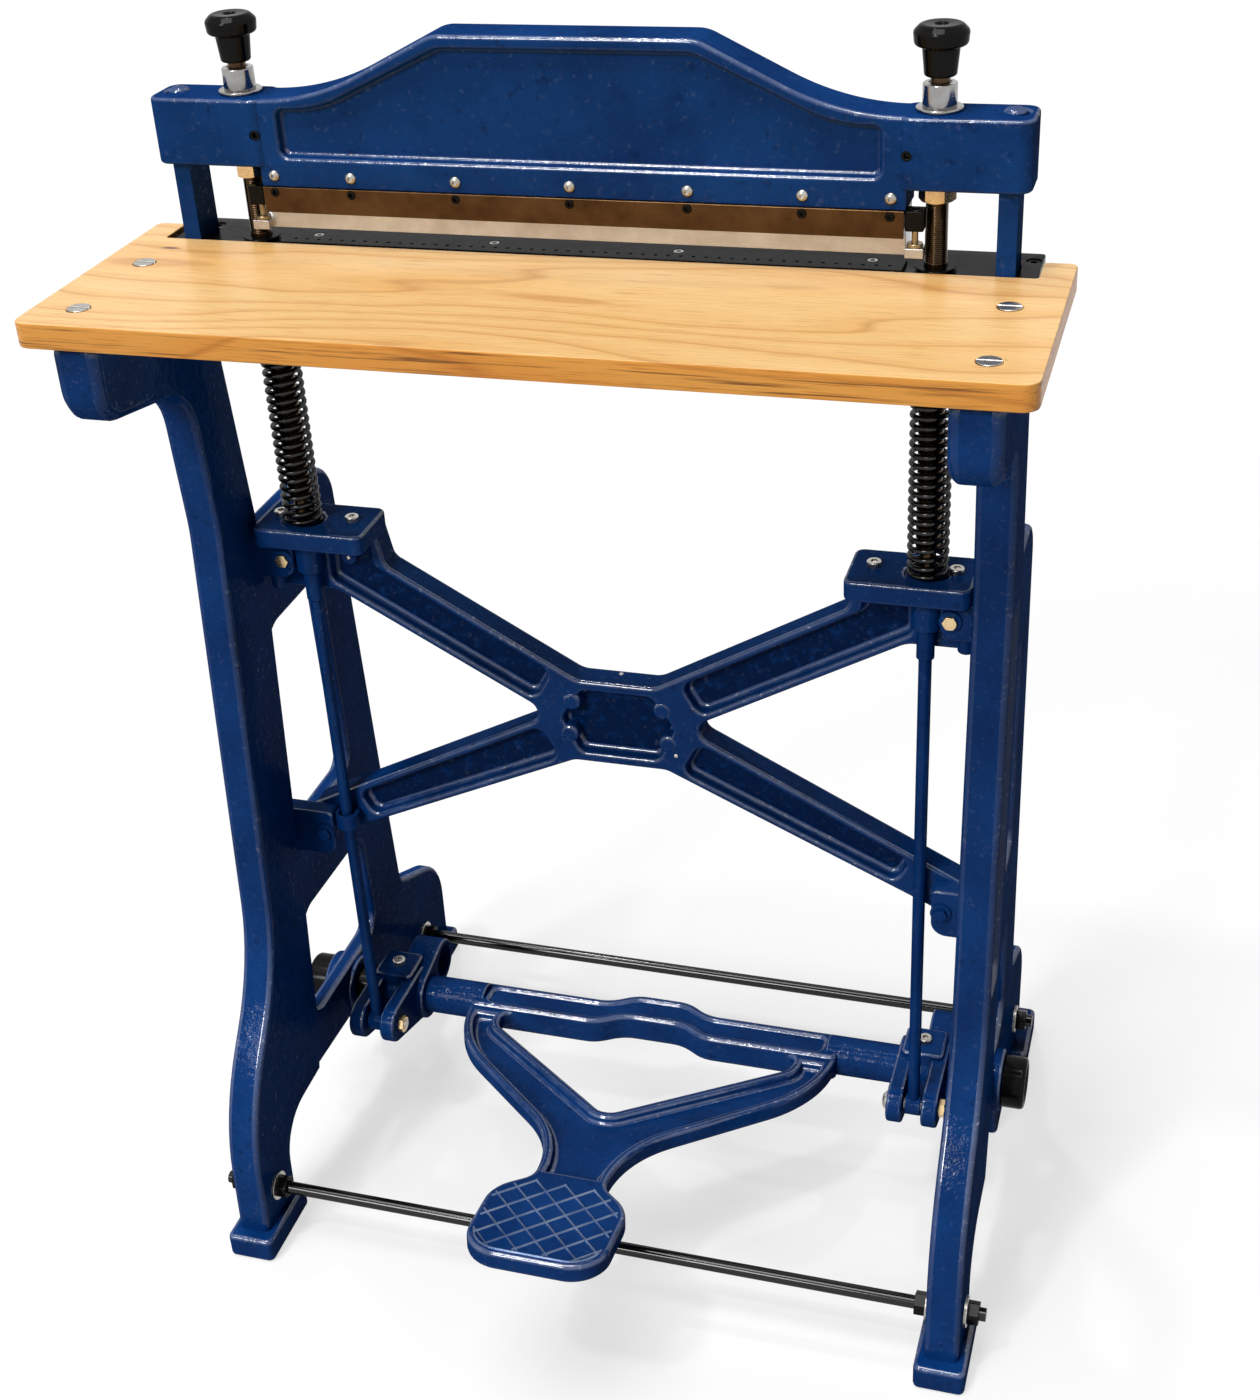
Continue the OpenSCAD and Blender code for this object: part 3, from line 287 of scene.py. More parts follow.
def arc_at(p, q, s, steps):
    """Points that round corner q, given as (a, b, radius), between its neighbours p and s."""
    corner = Vector(q[:2])
    if not q[2]:
        return [corner]
    u = (Vector(p[:2]) - corner).normalized()
    v = (Vector(s[:2]) - corner).normalized()
    half = acos(max(-1.0, min(1.0, u.dot(v)))) / 2
    centre = corner + (u + v).normalized() * q[2] / sin(half)
    start = corner + u * q[2] / tan(half) - centre
    turn = -copysign(pi - 2 * half, u.x * v.y - u.y * v.x)
    return [centre + spun(start, turn * k / steps) for k in range(steps + 1)]


def rounded(corners, steps=8):
    """Closed outline through corners (a, b, radius) that run counter-clockwise."""
    n = len(corners)
    loop = [p for i in range(n) for p in arc_at(corners[i - 1], corners[i], corners[(i + 1) % n], steps)]
    return [p for i, p in enumerate(loop) if (p - loop[i - 1]).length > LEAST_STEP]


def inset(corners, d):
    """The same corners moved inwards by d."""
    n = len(corners)
    result = []
    for i, c in enumerate(corners):
        a = (Vector(c[:2]) - Vector(corners[i - 1][:2])).normalized()
        b = (Vector(corners[(i + 1) % n][:2]) - Vector(c[:2])).normalized()
        p = Vector(c[:2]) + d * Vector((-a.y - b.y, a.x + b.x)) / (1 + a.dot(b))
        turn = copysign(1, a.x * b.y - a.y * b.x)
        result.append((p.x, p.y, max(c[2] - turn * d, LEAST_RADIUS)))
    return result


def both_sides(corners):
    """Right-hand corners and their mirror images, as one outline."""
    return list(corners) + [(-a, b, r) for a, b, r in reversed(corners)]


def mirrored(loop):
    return [Vector((-p.x, p.y)) for p in reversed(loop)]


def rectangle(low, high, radius=0):
    (a, b), (c, d) = low, high
    return rounded([(a, b, radius), (c, b, radius), (c, d, radius), (a, d, radius)])


def circle(centre, radius, count=48):
    turn = tau / count
    return [Vector((centre[0] + radius * cos(turn * k), centre[1] + radius * sin(turn * k)))
            for k in range(count)]


def link(p, rp, q, rq, count=40):
    """Outline of two discs joined by their tangents."""
    p, q = Vector(p), Vector(q)
    lean = acos((rp - rq) / (q - p).length)
    way = atan2(q.y - p.y, q.x - p.x)
    far = [q + spun(Vector((rq, 0)), way - lean + 2 * lean * k / count) for k in range(count + 1)]
    turn = tau - 2 * lean
    near = [p + spun(Vector((rp, 0)), way + lean + turn * k / count) for k in range(count + 1)]
    return far + near


def moved_in(loop, shift):
    """Loop moved to its left."""
    n = len(loop)
    result = []
    for i, q in enumerate(loop):
        a = (q - loop[i - 1]).normalized()
        b = (loop[(i + 1) % n] - q).normalized()
        result.append(q + shift * Vector((-a.y - b.y, a.x + b.x)) / (1 + a.dot(b)))
    return result


def is_inside(p, loop):
    hits = False
    for i, a in enumerate(loop):
        b = loop[i - 1]
        if (a.y > p.y) != (b.y > p.y) and p.x < (b.x - a.x) * (p.y - a.y) / (b.y - a.y) + a.x:
            hits = not hits
    return hits


# Placing helpers: an outline's two coordinates and a height, put into the machine

def across(side=1):
    """Outline in y and z, height along x."""
    return lambda y, z, x: Vector((side * x, y + ROD_Y, z)) * MM


def facing(side=1):
    """Outline in x and z, height towards the front."""
    return lambda x, z, h: Vector((side * x, ROD_Y - h, z)) * MM


def level(side=1):
    """Outline in x and y, height upwards."""
    return lambda x, y, z: Vector((side * x, y + ROD_Y, z)) * MM


def on_treadle(x, v, w):
    """Point of the treadle at x, v ahead of its pivot and w over its middle."""
    return Vector((x, PIVOT[0] + ROD_Y - v * cos(TILT) + w * sin(TILT),
                   PIVOT[1] + v * sin(TILT) + w * cos(TILT))) * MM


# Mesh helpers

# Looks of cast faces: paint, glossy edge bands, worn ridges, and darker paint as painted shade on channel
# floors.
CAST_LOOKS = (enamel, enamel_edge, worn_edge, enamel_shaded_recess)
PAINT, EDGE, WORN, SHADED_FLOOR = range(len(CAST_LOOKS))
ROUND_STEPS = 3
FILL_GAP = 1e-6
SEAM_WELD, CAST_WELD, CAD_WELD = 1e-7, 1e-6, 2e-6
SMOOTH_ANGLE, COIL_ANGLE = radians(35), radians(50)
FLAT_ANGLE, SHARP_ANGLE = radians(0.6), radians(30)
NUT_LAND, NUT_CHAMFER = 0.97, radians(30)


def band(bm, lower, upper, look=PAINT):
    """Faces between two rings; a ring of one point is a pole."""
    for i in range(max(len(lower), len(upper))):
        below = [lower[i - 1], lower[i]] if len(lower) > 1 else lower
        above = [upper[i], upper[i - 1]] if len(upper) > 1 else upper
        bm.faces.new(below + above).material_index = look


def tube(bm, rings, look=PAINT):
    """Solid from a row of rings, with two flat ends."""
    for lower, upper in zip(rings, rings[1:]):
        band(bm, lower, upper, look)
    bm.faces.new(rings[0])
    bm.faces.new(rings[-1])
    return closed(bm)


def quarter_turn(steps):
    return [pi / 2 * k / steps for k in range(steps + 1)]


def plate(place, outline, low, high, edge, holes=(), pockets=(), low_pockets=(), fillet=2.0,
          floor_look=PAINT):
    """Closed plate with rounded edges, through holes, and pockets (outline, depth) in its two sides."""
    bm = bmesh.new()
    caps = {high: [], low: []}
    quarter = quarter_turn(ROUND_STEPS)

    def ring(loop, shift, height):
        return [(bm.verts.new(place(p.x, p.y, height)), p) for p in moved_in(loop, shift)]

    def wall(loop, steps):
        rings = [ring(loop, d, h) for d, h, _ in steps]
        for lower, upper, (_, _, look) in zip(rings, rings[1:], steps):
            band(bm, [v for v, _ in lower], [v for v, _ in upper], look)
        return rings

    def lip(start, way):
        """Rounded edge from the face at the height start into its wall."""
        return [(edge * (1 - sin(a)), start + way * edge * (1 - cos(a)),
                 EDGE if a < quarter[-1] else PAINT) for a in quarter]

    base = [(edge * (1 - cos(a)), low + edge * (1 - sin(a)), EDGE) for a in quarter]
    for loop in [outline] + [h[::-1] for h in holes]:
        rings = wall(loop, lip(high, -1) + base if edge else [(0, high, PAINT), (0, low, PAINT)])
        caps[high].append(rings[0])
        caps[low].append(rings[-1])
    for group, start, way in ((pockets, high, -1), (low_pockets, low, 1)):
        for loop, depth in group:
            foot = [(-fillet * (1 - cos(a)), start + way * (depth - fillet * (1 - sin(a))), EDGE)
                    for a in quarter]
            rings = wall(loop[::-1], lip(start, way) + foot)
            caps[start].append(rings[0])
            fill(bm, [rings[-1]], floor_look)
    for loops in caps.values():
        fill(bm, loops)
    return closed(bm)


def fill(bm, loops, look=PAINT):
    """Flat face with holes between rings, whose points come with their flat places."""
    verts = [v for loop in loops for v, _ in loop]
    outlines = [[p for _, p in loop] for loop in loops]
    edges = []
    for outline in outlines:
        start = len(edges)
        edges += [(start + k, start + (k + 1) % len(outline)) for k in range(len(outline))]
    points, _, triangles, sources, _, _ = delaunay_2d_cdt(sum(outlines, []), edges, [], 0, FILL_GAP)
    for triangle in triangles:
        middle = sum((points[i] for i in triangle), Vector((0, 0))) / 3
        if sum(is_inside(middle, outline) for outline in outlines) % 2:
            bm.faces.new([verts[sources[i][0]] for i in triangle]).material_index = look


def weld(bm, distance):
    bmesh.ops.remove_doubles(bm, verts=bm.verts, dist=distance)


def closed(bm):
    weld(bm, SEAM_WELD)
    bmesh.ops.recalc_face_normals(bm, faces=bm.faces)
    return bm


def turned(bm, place, centre, rings, segments=48, look=0, joined=False):
    """Adds a turned form; a ring is (radius, height) or a function of the angle that gives both."""
    made = []
    for ring in rings:
        if not callable(ring) and ring[0] == 0:
            made.append([bm.verts.new(place(*centre, ring[1]))])
            continue
        points = []
        for k in range(segments):
            angle = tau * k / segments
            radius, height = ring(angle) if callable(ring) else ring
            points.append(bm.verts.new(place(centre[0] + radius * cos(angle),
                                             centre[1] + radius * sin(angle), height)))
        made.append(points)
    for lower, upper in zip(made, made[1:] + made[:1] if joined else made[1:]):
        band(bm, lower, upper, look)


def hex_ring(flats, height, way=0):
    """Ring of a hexagon; with a way of 1 or -1 its corners fall off as on a chamfered nut."""
    def at(angle):
        radius = flats / 2 / cos(angle % (pi / 3) - pi / 6)
        drop = max(0, radius - NUT_LAND * flats / 2) * tan(NUT_CHAMFER)
        return radius, height - way * drop
    return at


def nut_rings(flats, low, high, bore):
    """Chamfered hexagon nut with its bore, as rings that close on themselves."""
    land = NUT_LAND * flats / 2
    return [(bore, low), (land, low), hex_ring(flats, low, -1),
            hex_ring(flats, high, 1), (land, high), (bore, high)]


def socket_rings(flats, top, depth):
    """Hexagon socket sunk from a flat top."""
    return [hex_ring(flats, top), hex_ring(flats, top - depth), (0, top - depth)]


def soft_edge(radius, height, r, way=1, steps=4):
    """Rings that round an edge at this radius and height."""
    rings = [(radius - r * (1 - cos(a)), height - way * r * (1 - sin(a)))
             for a in quarter_turn(steps)]
    return rings if way > 0 else rings[::-1]


def dome(radius, low, height, flat=0.0, steps=5):
    """Rings of a domed head, as far in as its flat middle."""
    return [(radius * cos(a), low + height * sin(a)) for a in quarter_turn(steps)
            if radius * cos(a) > flat]


def in_scene(name, data):
    thing = bpy.data.objects.new(name, data)
    scene.collection.objects.link(thing)
    return thing


def meshed(name, bm, materials):
    """Object from a bmesh, which is used up."""
    mesh = bpy.data.meshes.new(name)
    bm.to_mesh(mesh)
    bm.free()
    for material in materials:
        mesh.materials.append(material)
    return in_scene(name, mesh)


def new_piece(name, bm, *materials, sharp=SMOOTH_ANGLE):
    """Object from a bmesh, shaded smooth except over sharp edges."""
    for face in bm.faces:
        face.smooth = True
    for edge in bm.edges:
        edge.smooth = len(edge.link_faces) == 2 and edge.calc_face_angle(0) < sharp
    piece = meshed(name, bm, materials)
    piece.modifiers.new("even_light", "WEIGHTED_NORMAL").keep_sharp = True
    return piece


def stand_in(piece, *names):
    """The piece replaces these CAD nodes and takes their body."""
    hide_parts(*names)
    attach(piece, body_of_node[names[0]])
    replaced.update(names)
    return piece


def fused(node, shells, cuts=(), look=None):
    """Overlapping shells less the cuts, for a CAD node; painted unless there is a look."""
    base = meshed("shell", shells[0], CAST_LOOKS)
    others = []
    for operation, group in (("UNION", shells[1:]), ("DIFFERENCE", cuts)):
        for bm in group:
            others.append(meshed("shell", bm, CAST_LOOKS))
            step = base.modifiers.new(operation, "BOOLEAN")
            step.operation = operation
            step.solver = "MANIFOLD"
            step.object = others[-1]
    mesh = bpy.data.meshes.new_from_object(base.evaluated_get(bpy.context.evaluated_depsgraph_get()))
    for shell in [base] + others:
        bpy.data.objects.remove(shell)
    bm = bmesh.new()
    bm.from_mesh(mesh)
    weld(bm, CAST_WELD)
    bmesh.ops.dissolve_degenerate(bm, edges=bm.edges, dist=CAST_WELD)
    if look:
        for face in bm.faces:
            face.material_index = 0
    stand_in(new_piece(node + "_cast", bm, *([look] if look else CAST_LOOKS)), node)


def room_beside(edge):
    """Least width in metres of the two faces at an edge."""
    return min(face.calc_area() for face in edge.link_faces) / max(edge.calc_length(), CAST_WELD)


def dressed(node, edge, look, segments):
    """Copy of a CAD node with its sharp edges rounded by edge millimetres where there is room."""
    width = edge * MM
    bm = bmesh.new()
    bm.from_mesh(nodes[node].data)
    weld(bm, CAD_WELD)
    bmesh.ops.dissolve_limit(bm, angle_limit=FLAT_ANGLE, verts=bm.verts, edges=bm.edges)
    weld(bm, 0.25 * width)
    bmesh.ops.dissolve_degenerate(bm, edges=bm.edges, dist=CAST_WELD)
    sharp = [e for e in bm.edges if len(e.link_faces) == 2 and e.calc_face_angle(0) > SHARP_ANGLE
             and room_beside(e) > 1.2 * width]
    bmesh.ops.bevel(bm, geom=sharp, offset=width, segments=segments, profile=0.5, affect="EDGES",
                    loop_slide=True)
    weld(bm, 0.03 * width)
    bmesh.ops.triangulate(bm, faces=[f for f in bm.faces if len(f.verts) > 4])
    stand_in(new_piece(node + "_dressed", bm, look or look_of_slot[slot_of_node[node]]), node)


# Side frames

LEG = [(-202, 0, 0), (-137, 0, 0), (-133, 102, 44), (-50, 106, 0), (-37, 160, 0), (-21, 340, 400),
       (-2, 600, 300), (0, 700, 60), (-15, SEAT_Z - 85, 50), (-15, SEAT_Z - 36, 18), (37, SEAT_Z - 36, 8),
       (37, SEAT_Z, 0), (-208, SEAT_Z, 8), (-208, SEAT_Z - 63, 26), (-78, SEAT_Z - 87, 46), (-68, 715, 150),
       (-100, 275, 200), (-194, 160, 205)]
NOSE = [(-208, SEAT_Z - 63, 30), (-120, SEAT_Z - 78, 26), (-112, SEAT_Z, 10), (-208, SEAT_Z, 10)]
BODY = [(-60, 106, 0), (92, 100, 40), (125, 0, 0), (296, 0, 0), (298, 118, 62), (194, 167, 16), (183, 320, 0),
        (170, 528, 0), (160, 686, 40), (-40, 686, 0), (-60, 300, 0)]
UPPER_WINDOW = [(-22, 368, 20), (113, 368, 16), (106, 585, 20), (-6, 585, 24)]
LOWER_WINDOW = [(-38, 160, 22), (120, 160, 20), (115, 276, 16), (-29, 280, 24)]
LEG_HOLLOW = [(-80, 340, 14), (-40, 340, 14), (-17, 690, 14), (-54, 700, 14)]
HOLLOW_DEPTH, NOSE_PROUD = 5, 3.5
CAST_EDGE, NOSE_EDGE, FOOT_EDGE, HUB_EDGE, LUG_EDGE = 5.0, 8.0, 4.0, 2.5, 2.0
FOOT_IN, FOOT_OUT, FOOT_H, FOOT_R = 310.5, 356.5, 26, 6
FEET_Y = ((-214, -129), (222, 300))
HUB_R, HUB_BORE = 30, 18
LUG_IN, LUGS_Z = 285, ((345, 393), (644, 679))
PEG_AT, PEG_R, PEG_LOW, PEG_TOP = (306, 0), 7, 631, 650
POST_SLOT, SLOT_DEPTH = ((317, -18.7), (334.5, 18)), 30
BOSS_ROOM = 13
PAST = 5  # how far a cut runs past its casting


def side_frame(node, side):
    shells = [
        plate(across(side), rounded(LEG), FRAME_IN, FRAME_OUT, CAST_EDGE,
              pockets=[(rounded(LEG_HOLLOW), HOLLOW_DEPTH)]),
        plate(across(side), rounded(BODY), WEB_IN, WEB_OUT, CAST_EDGE,
              holes=[rounded(UPPER_WINDOW), rounded(LOWER_WINDOW)]),
        plate(across(side), rounded(NOSE), FRAME_IN - NOSE_PROUD, FRAME_OUT + NOSE_PROUD, NOSE_EDGE),
    ]
    for front, back in FEET_Y:
        outline = rectangle((FOOT_IN, front), (FOOT_OUT, back), FOOT_R)
        shells.append(plate(level(side), outline, 0, FOOT_H, FOOT_EDGE))
    shells.append(plate(across(side), circle(PIVOT, HUB_R), FRAME_IN, FRAME_OUT, HUB_EDGE))
    for low, high in LUGS_Z:
        outline = rounded([(LUG_IN, low, 14), (FRAME_X, low, 0), (FRAME_X, high, 0), (LUG_IN, high, 4)])
        shells.append(plate(facing(side), outline, -WALL_Y, WALL_Y, LUG_EDGE))
    shells.append(plate(level(side), circle(PEG_AT, PEG_R), PEG_LOW, PEG_TOP, LUG_EDGE))
    cuts = [plate(level(side), rectangle(*POST_SLOT), SEAT_Z - SLOT_DEPTH, SEAT_Z + PAST, 0),
            plate(level(side), circle((ROD_X, 0), BOSS_ROOM), BOSS_Z - 2 * PAST, BOSS_TOP, 0),
            plate(across(side), circle(PIVOT, HUB_BORE), FRAME_IN - PAST, FRAME_OUT + PAST, 0)]
    fused(node, shells, cuts)


side_frame("side_frame_left", -1)
side_frame("side_frame_right", 1)


# Cross brace: X with sunk channels, a panel in the middle and a bracket for each spring rod

BRACE = both_sides([
    (43, BRACE_Z - 44, 18), (WALL_END, BRACE_Z - 170, 6), (WALL_END, BRACE_Z - 128, 6), (62, BRACE_Z + 1, 12),
    (256, BRACE_Z + 109, 24), (WALL_END, BRACE_Z + 109, 4), (WALL_END, BOSS_TOP, 0), (213, BOSS_TOP, 0),
    (206, BRACE_Z + 137, 12), (36, BRACE_Z + 40, 22)])
BRACE_PANEL = both_sides([(36, BRACE_Z - 34, 8), (52, BRACE_Z, 10), (32, BRACE_Z + 30, 8)])
UPPER_CHANNEL = [(76, 534.8, 10), (259, 637, 8), (259, 680, 6), (219, 680, 6), (219, 654.4, 10),
                 (60, 563.7, 10)]
LOWER_CHANNEL = [(58, 474.7, 10), (250, 384.8, 9), (262, 407.9, 9), (74, 504.9, 10)]
CHANNEL_DEPTH, CHANNEL_FILLET, BRACE_EDGE = 12, 4.0, 3.2
# Round knubs in the corners of the panel
KNUBS = ((42, BRACE_Z + 18), (46, BRACE_Z - 16))
KNUB_R, KNUB_ROOT, KNUB_PROUD, KNUB_EDGE = 9, 2, 0.8, 3.5
BRACKET_PLAN, BRACKET_LOW, BRACKET_EDGE = rectangle((209, -28), (WALL_END, 34), 8), 682, 2.5
SEAT_R, SEAT_DEPTH, SEAT_FILLET = 18, 3, 0.5
BOSS_R, BOSS_EDGE, BOSS_BORE = 12, 1.5, 6.65


def cross_brace():
    channels = [rounded(UPPER_CHANNEL), rounded(LOWER_CHANNEL)]
    pockets = [(loop, CHANNEL_DEPTH) for channel in channels for loop in (channel, mirrored(channel))]
    pockets.append((rounded(BRACE_PANEL), CHANNEL_DEPTH))
    # The channel and panel floors take the darkened paint, a painted shade.
    shells = [plate(facing(), rounded(BRACE), -WALL_Y - BRACE_D, -WALL_Y, BRACE_EDGE, pockets=pockets,
                    fillet=CHANNEL_FILLET, floor_look=SHADED_FLOOR)]
    cuts = []
    for side in SIDES:
        shells.append(plate(level(side), BRACKET_PLAN, BRACKET_LOW, BRACKET_Z, BRACKET_EDGE,
                            pockets=[(circle((ROD_X, 0), SEAT_R), SEAT_DEPTH)], fillet=SEAT_FILLET))
        shells.append(plate(level(side), circle((ROD_X, 0), BOSS_R), BOSS_Z, BOSS_TOP, BOSS_EDGE))
        for centre in KNUBS:
            shells.append(plate(facing(side), circle(centre, KNUB_R), -WALL_Y - CHANNEL_DEPTH - KNUB_ROOT,
                                -WALL_Y + KNUB_PROUD, KNUB_EDGE))
        cuts.append(plate(level(side), circle((ROD_X, 0), BOSS_BORE), BOSS_Z - PAST, BRACKET_Z + PAST, 0))
    fused("cross_brace", shells, cuts)


cross_brace()


# Head and the blocks at its ends that guide the stripper

HEAD = both_sides([(331, BOX_Z, 0), (331, BOX_TOP, 0), (204.93, BOX_TOP, 200), (101.2, CROWN_Z, 30)])
WEB = both_sides([(235, BOX_Z + 8, 6), (235, BOX_TOP - 7, 6), (202.9, BOX_TOP - 8, 105),
                  (97.66, CROWN_Z - 10, 24)])
HEAD_STEPS, HEAD_EDGE, WEB_DEPTH, WEB_FILLET = 14, 3.0, 8, 3.0
RAIL_HALF, RAIL_STEP, RAIL_LAP, RAIL_EDGE = 254, 4, 4, 0.8
BOX_PLAN, BOX_EDGE = rectangle((246, -25.5), (343, 20.5), 11), 2.5
POST_X = 326.25
CAP_R, CAP_DEPTH = 10, 4
LOCK, LOCK_R, LOCK_BACK, LOCK_FRONT = (254, 1042), 4, 12, 40
ROD_HOLE = 8.6
BLOCK_PLAN, BLOCK_LOW, BLOCK_EDGE = rectangle((253.5, -24), (267, -10), 1.5), 987.21, 0.6
STUD_HOLE = circle((260, -16.75), 3)


def head_casting():
    web = (rounded(WEB, HEAD_STEPS), WEB_DEPTH)
    rail = rectangle((-RAIL_HALF, RAIL_Z), (RAIL_HALF, BOX_Z + RAIL_LAP))
    shells = [plate(facing(), rounded(HEAD, HEAD_STEPS), -HEAD_BACK, -HEAD_FRONT, HEAD_EDGE, pockets=[web],
                    low_pockets=[web], fillet=WEB_FILLET),
              plate(facing(), rail, RAIL_STEP - HEAD_BACK, -HEAD_FRONT, RAIL_EDGE)]
    cuts = []
    for side in SIDES:
        shells.append(plate(level(side), BOX_PLAN, BOX_Z, BOX_TOP, BOX_EDGE,
                            pockets=[(circle((POST_X, 0), CAP_R), CAP_DEPTH)], fillet=SEAT_FILLET))
        cuts.append(plate(facing(side), circle(LOCK, LOCK_R), LOCK_BACK, LOCK_FRONT, 0))
        cuts.append(plate(level(side), circle((ROD_X, 0), ROD_HOLE), BOX_Z - PAST, BOX_TOP + PAST, 0))
    fused("head_casting", shells, cuts)


head_casting()
fused("stripper_blocks", [plate(level(side), BLOCK_PLAN, BLOCK_LOW, RAIL_Z, BLOCK_EDGE, holes=[STUD_HOLE])
                          for side in SIDES], look=black)


# Treadle

FORK, BAR_R, NECK, REACH, PEDAL_V, ARM_T = 190, 19, 33, 388, 286, 18
PEDAL_HALF = 64
BAR_FRONT = 24
BAR_BACK = [(28, -BAR_R - 18, 36), (52, -BAR_R, 36), (FORK, -BAR_R, 8)]
BAR_PLAN = BAR_BACK + [(FORK, BAR_FRONT, 6), (55, BAR_FRONT, 36), (30, 6, 36)]
TREADLE = both_sides(BAR_BACK + [
    (FORK, 20, 0), (FORK - 8, 82, 135), (NECK + 3, REACH - 174, 112), (NECK, PEDAL_V - 12, 20),
    (PEDAL_HALF, PEDAL_V + 14, 38), (PEDAL_HALF, REACH, 34)])
OPENING = both_sides([(30, 6, 36), (55, BAR_FRONT, 36), (FORK - 38, BAR_FRONT, 11), (FORK - 42, 50, 22),
                      (6, REACH - 224, 15)])
TREADLE_RIM, TREADLE_EDGE, TREADLE_FILLET = 10, 4.0, 4.0
ARM_SINK, BAR_SINK, BAR_PROUD = 9, 11, 3
PLAN_STEPS, BAR_STEPS, CHANNEL_STEPS = 12, 10, 16
JOURNAL_IN, JOURNAL_END, JOURNAL_EDGE = FORK - 12, 298, 1.5
STUB_BORE, BORE_IN, BORE_END = 11, 263, 300
GRID_PITCH, GRID_HALF, GRID_HEIGHT, GRID_ROOT = 19, 1.0, 1.2, 0.6
TIP, TAPER, TOP_SHARE = 0.8, 0.3, 0.4


def channel_outline():
    """Outline of the sunk floor between the rims of the treadle's arms."""
    first, last, clear = BAR_FRONT + TREADLE_RIM, PEDAL_V - 20, 8
    outer = [p for p in rounded(inset(TREADLE, TREADLE_RIM), CHANNEL_STEPS)
             if p.x > 0 and first + clear < p.y < last - clear]
    inner = [p for p in rounded(inset(OPENING, -TREADLE_RIM), CHANNEL_STEPS)
             if p.x > 0 and p.y > first + clear]
    outer = [Vector((outer[0].x, first))] + outer + [Vector((outer[-1].x, last))]
    inner = [Vector((inner[0].x, first))] + inner
    right = inner[::-1] + outer
    return right + mirrored(right)


def ridge(p, q):
    """Raised line with a worn top on the pedal, from p to q."""
    bm = bmesh.new()
    along = (q - p).normalized()
    out = Vector((-along.y, along.x))
    top = TOP_SHARE * GRID_HALF
    section = [(-GRID_HALF, -GRID_ROOT), (GRID_HALF, -GRID_ROOT), (GRID_HALF, 0.0),
               (top, GRID_HEIGHT), (-top, GRID_HEIGHT), (-GRID_HALF, 0.0)]
    tip = along * TIP
    rings = []
    for point, scale in ((p - tip, TAPER), (p, 1.0), (q, 1.0), (q + tip, TAPER)):
        rings.append([bm.verts.new(on_treadle(*(point + out * s * scale),
                                              ARM_T / 2 + (h * scale if h > 0 else h))) for s, h in section])
    return tube(bm, rings, WORN)


def pedal_grid():
    """Diagonal raised lines on the pedal, and a line round its front."""
    lines, reach, shortest, margin, rim_from = 4, 90, 8, 6, REACH - 30
    back, front = PEDAL_V - 4, REACH - 8
    room = rounded(inset(TREADLE, margin))
    centre = Vector((0, (PEDAL_V + REACH) / 2))
    ridges = []
    for turn in (1, -1):
        along = Vector((1, turn)).normalized()
        normal = Vector((-along.y, along.x))
        for k in range(-lines, lines + 1):
            spine = [centre + normal * GRID_PITCH * k + along * s for s in range(-reach, reach + 1)]
            run = [p for p in spine if is_inside(p, room) and back < p.y < front]
            if len(run) > shortest:
                ridges.append(ridge(run[0], run[-1]))
    rim = [p for p in room if p.y > rim_from]
    ridges += [ridge(p, q) for p, q in zip(rim, rim[1:]) if (q - p).length > 1]
    return ridges


def treadle_casting():
    sunk = [(min(a, FORK - 8), b, max(r, 14)) for a, b, r in BAR_PLAN]
    bar_floor = rounded(inset(both_sides(sunk), TREADLE_RIM), BAR_STEPS)
    shells = [
        plate(on_treadle, rounded(TREADLE, PLAN_STEPS), -ARM_T / 2, ARM_T / 2, TREADLE_EDGE,
              holes=[rounded(OPENING, PLAN_STEPS)], pockets=[(channel_outline(), ARM_SINK)],
              fillet=TREADLE_FILLET),
        plate(on_treadle, rounded(both_sides(BAR_PLAN), BAR_STEPS), 4 - BAR_R, ARM_T / 2 + BAR_PROUD,
              TREADLE_EDGE, pockets=[(bar_floor, BAR_SINK)], fillet=TREADLE_FILLET)]
    cuts = []
    for side in SIDES:
        def along(v, w, x, side=side):
            return on_treadle(side * x, v, w)
        shells.append(plate(along, circle((0, 0), BAR_R), JOURNAL_IN, JOURNAL_END, JOURNAL_EDGE))
        cuts.append(plate(along, circle((0, 0), STUB_BORE), BORE_IN, BORE_END, 0))
    fused("treadle_casting", shells + pedal_grid(), cuts)


treadle_casting()


# Cranks: clamp round the bar, flat top for its screw, two ears for the clevis pin and a boss at the back

EAR_IN, EAR_OUT, EAR_R, EAR_EDGE = 9, 24, 19, 2.5
CLAMP_R, CLAMP_BORE, CLAMP_EDGE = 29, 19, 2.0
TOP_HALF, TOP_CORNER, TOP_H, TOP_EDGE = 20, 5, 34, 2.5
TAIL, TAIL_R, TAIL_BORE, TAIL_END = (PIVOT[0] + 40, PIVOT[1] + 12), 23, 17, 32
NECK_R, STUB_ROOM = 26, 20
CLAMP_OPEN, STUB_OPEN, TAIL_FLOOR, TAIL_OPEN = 40, 50, 6, 60


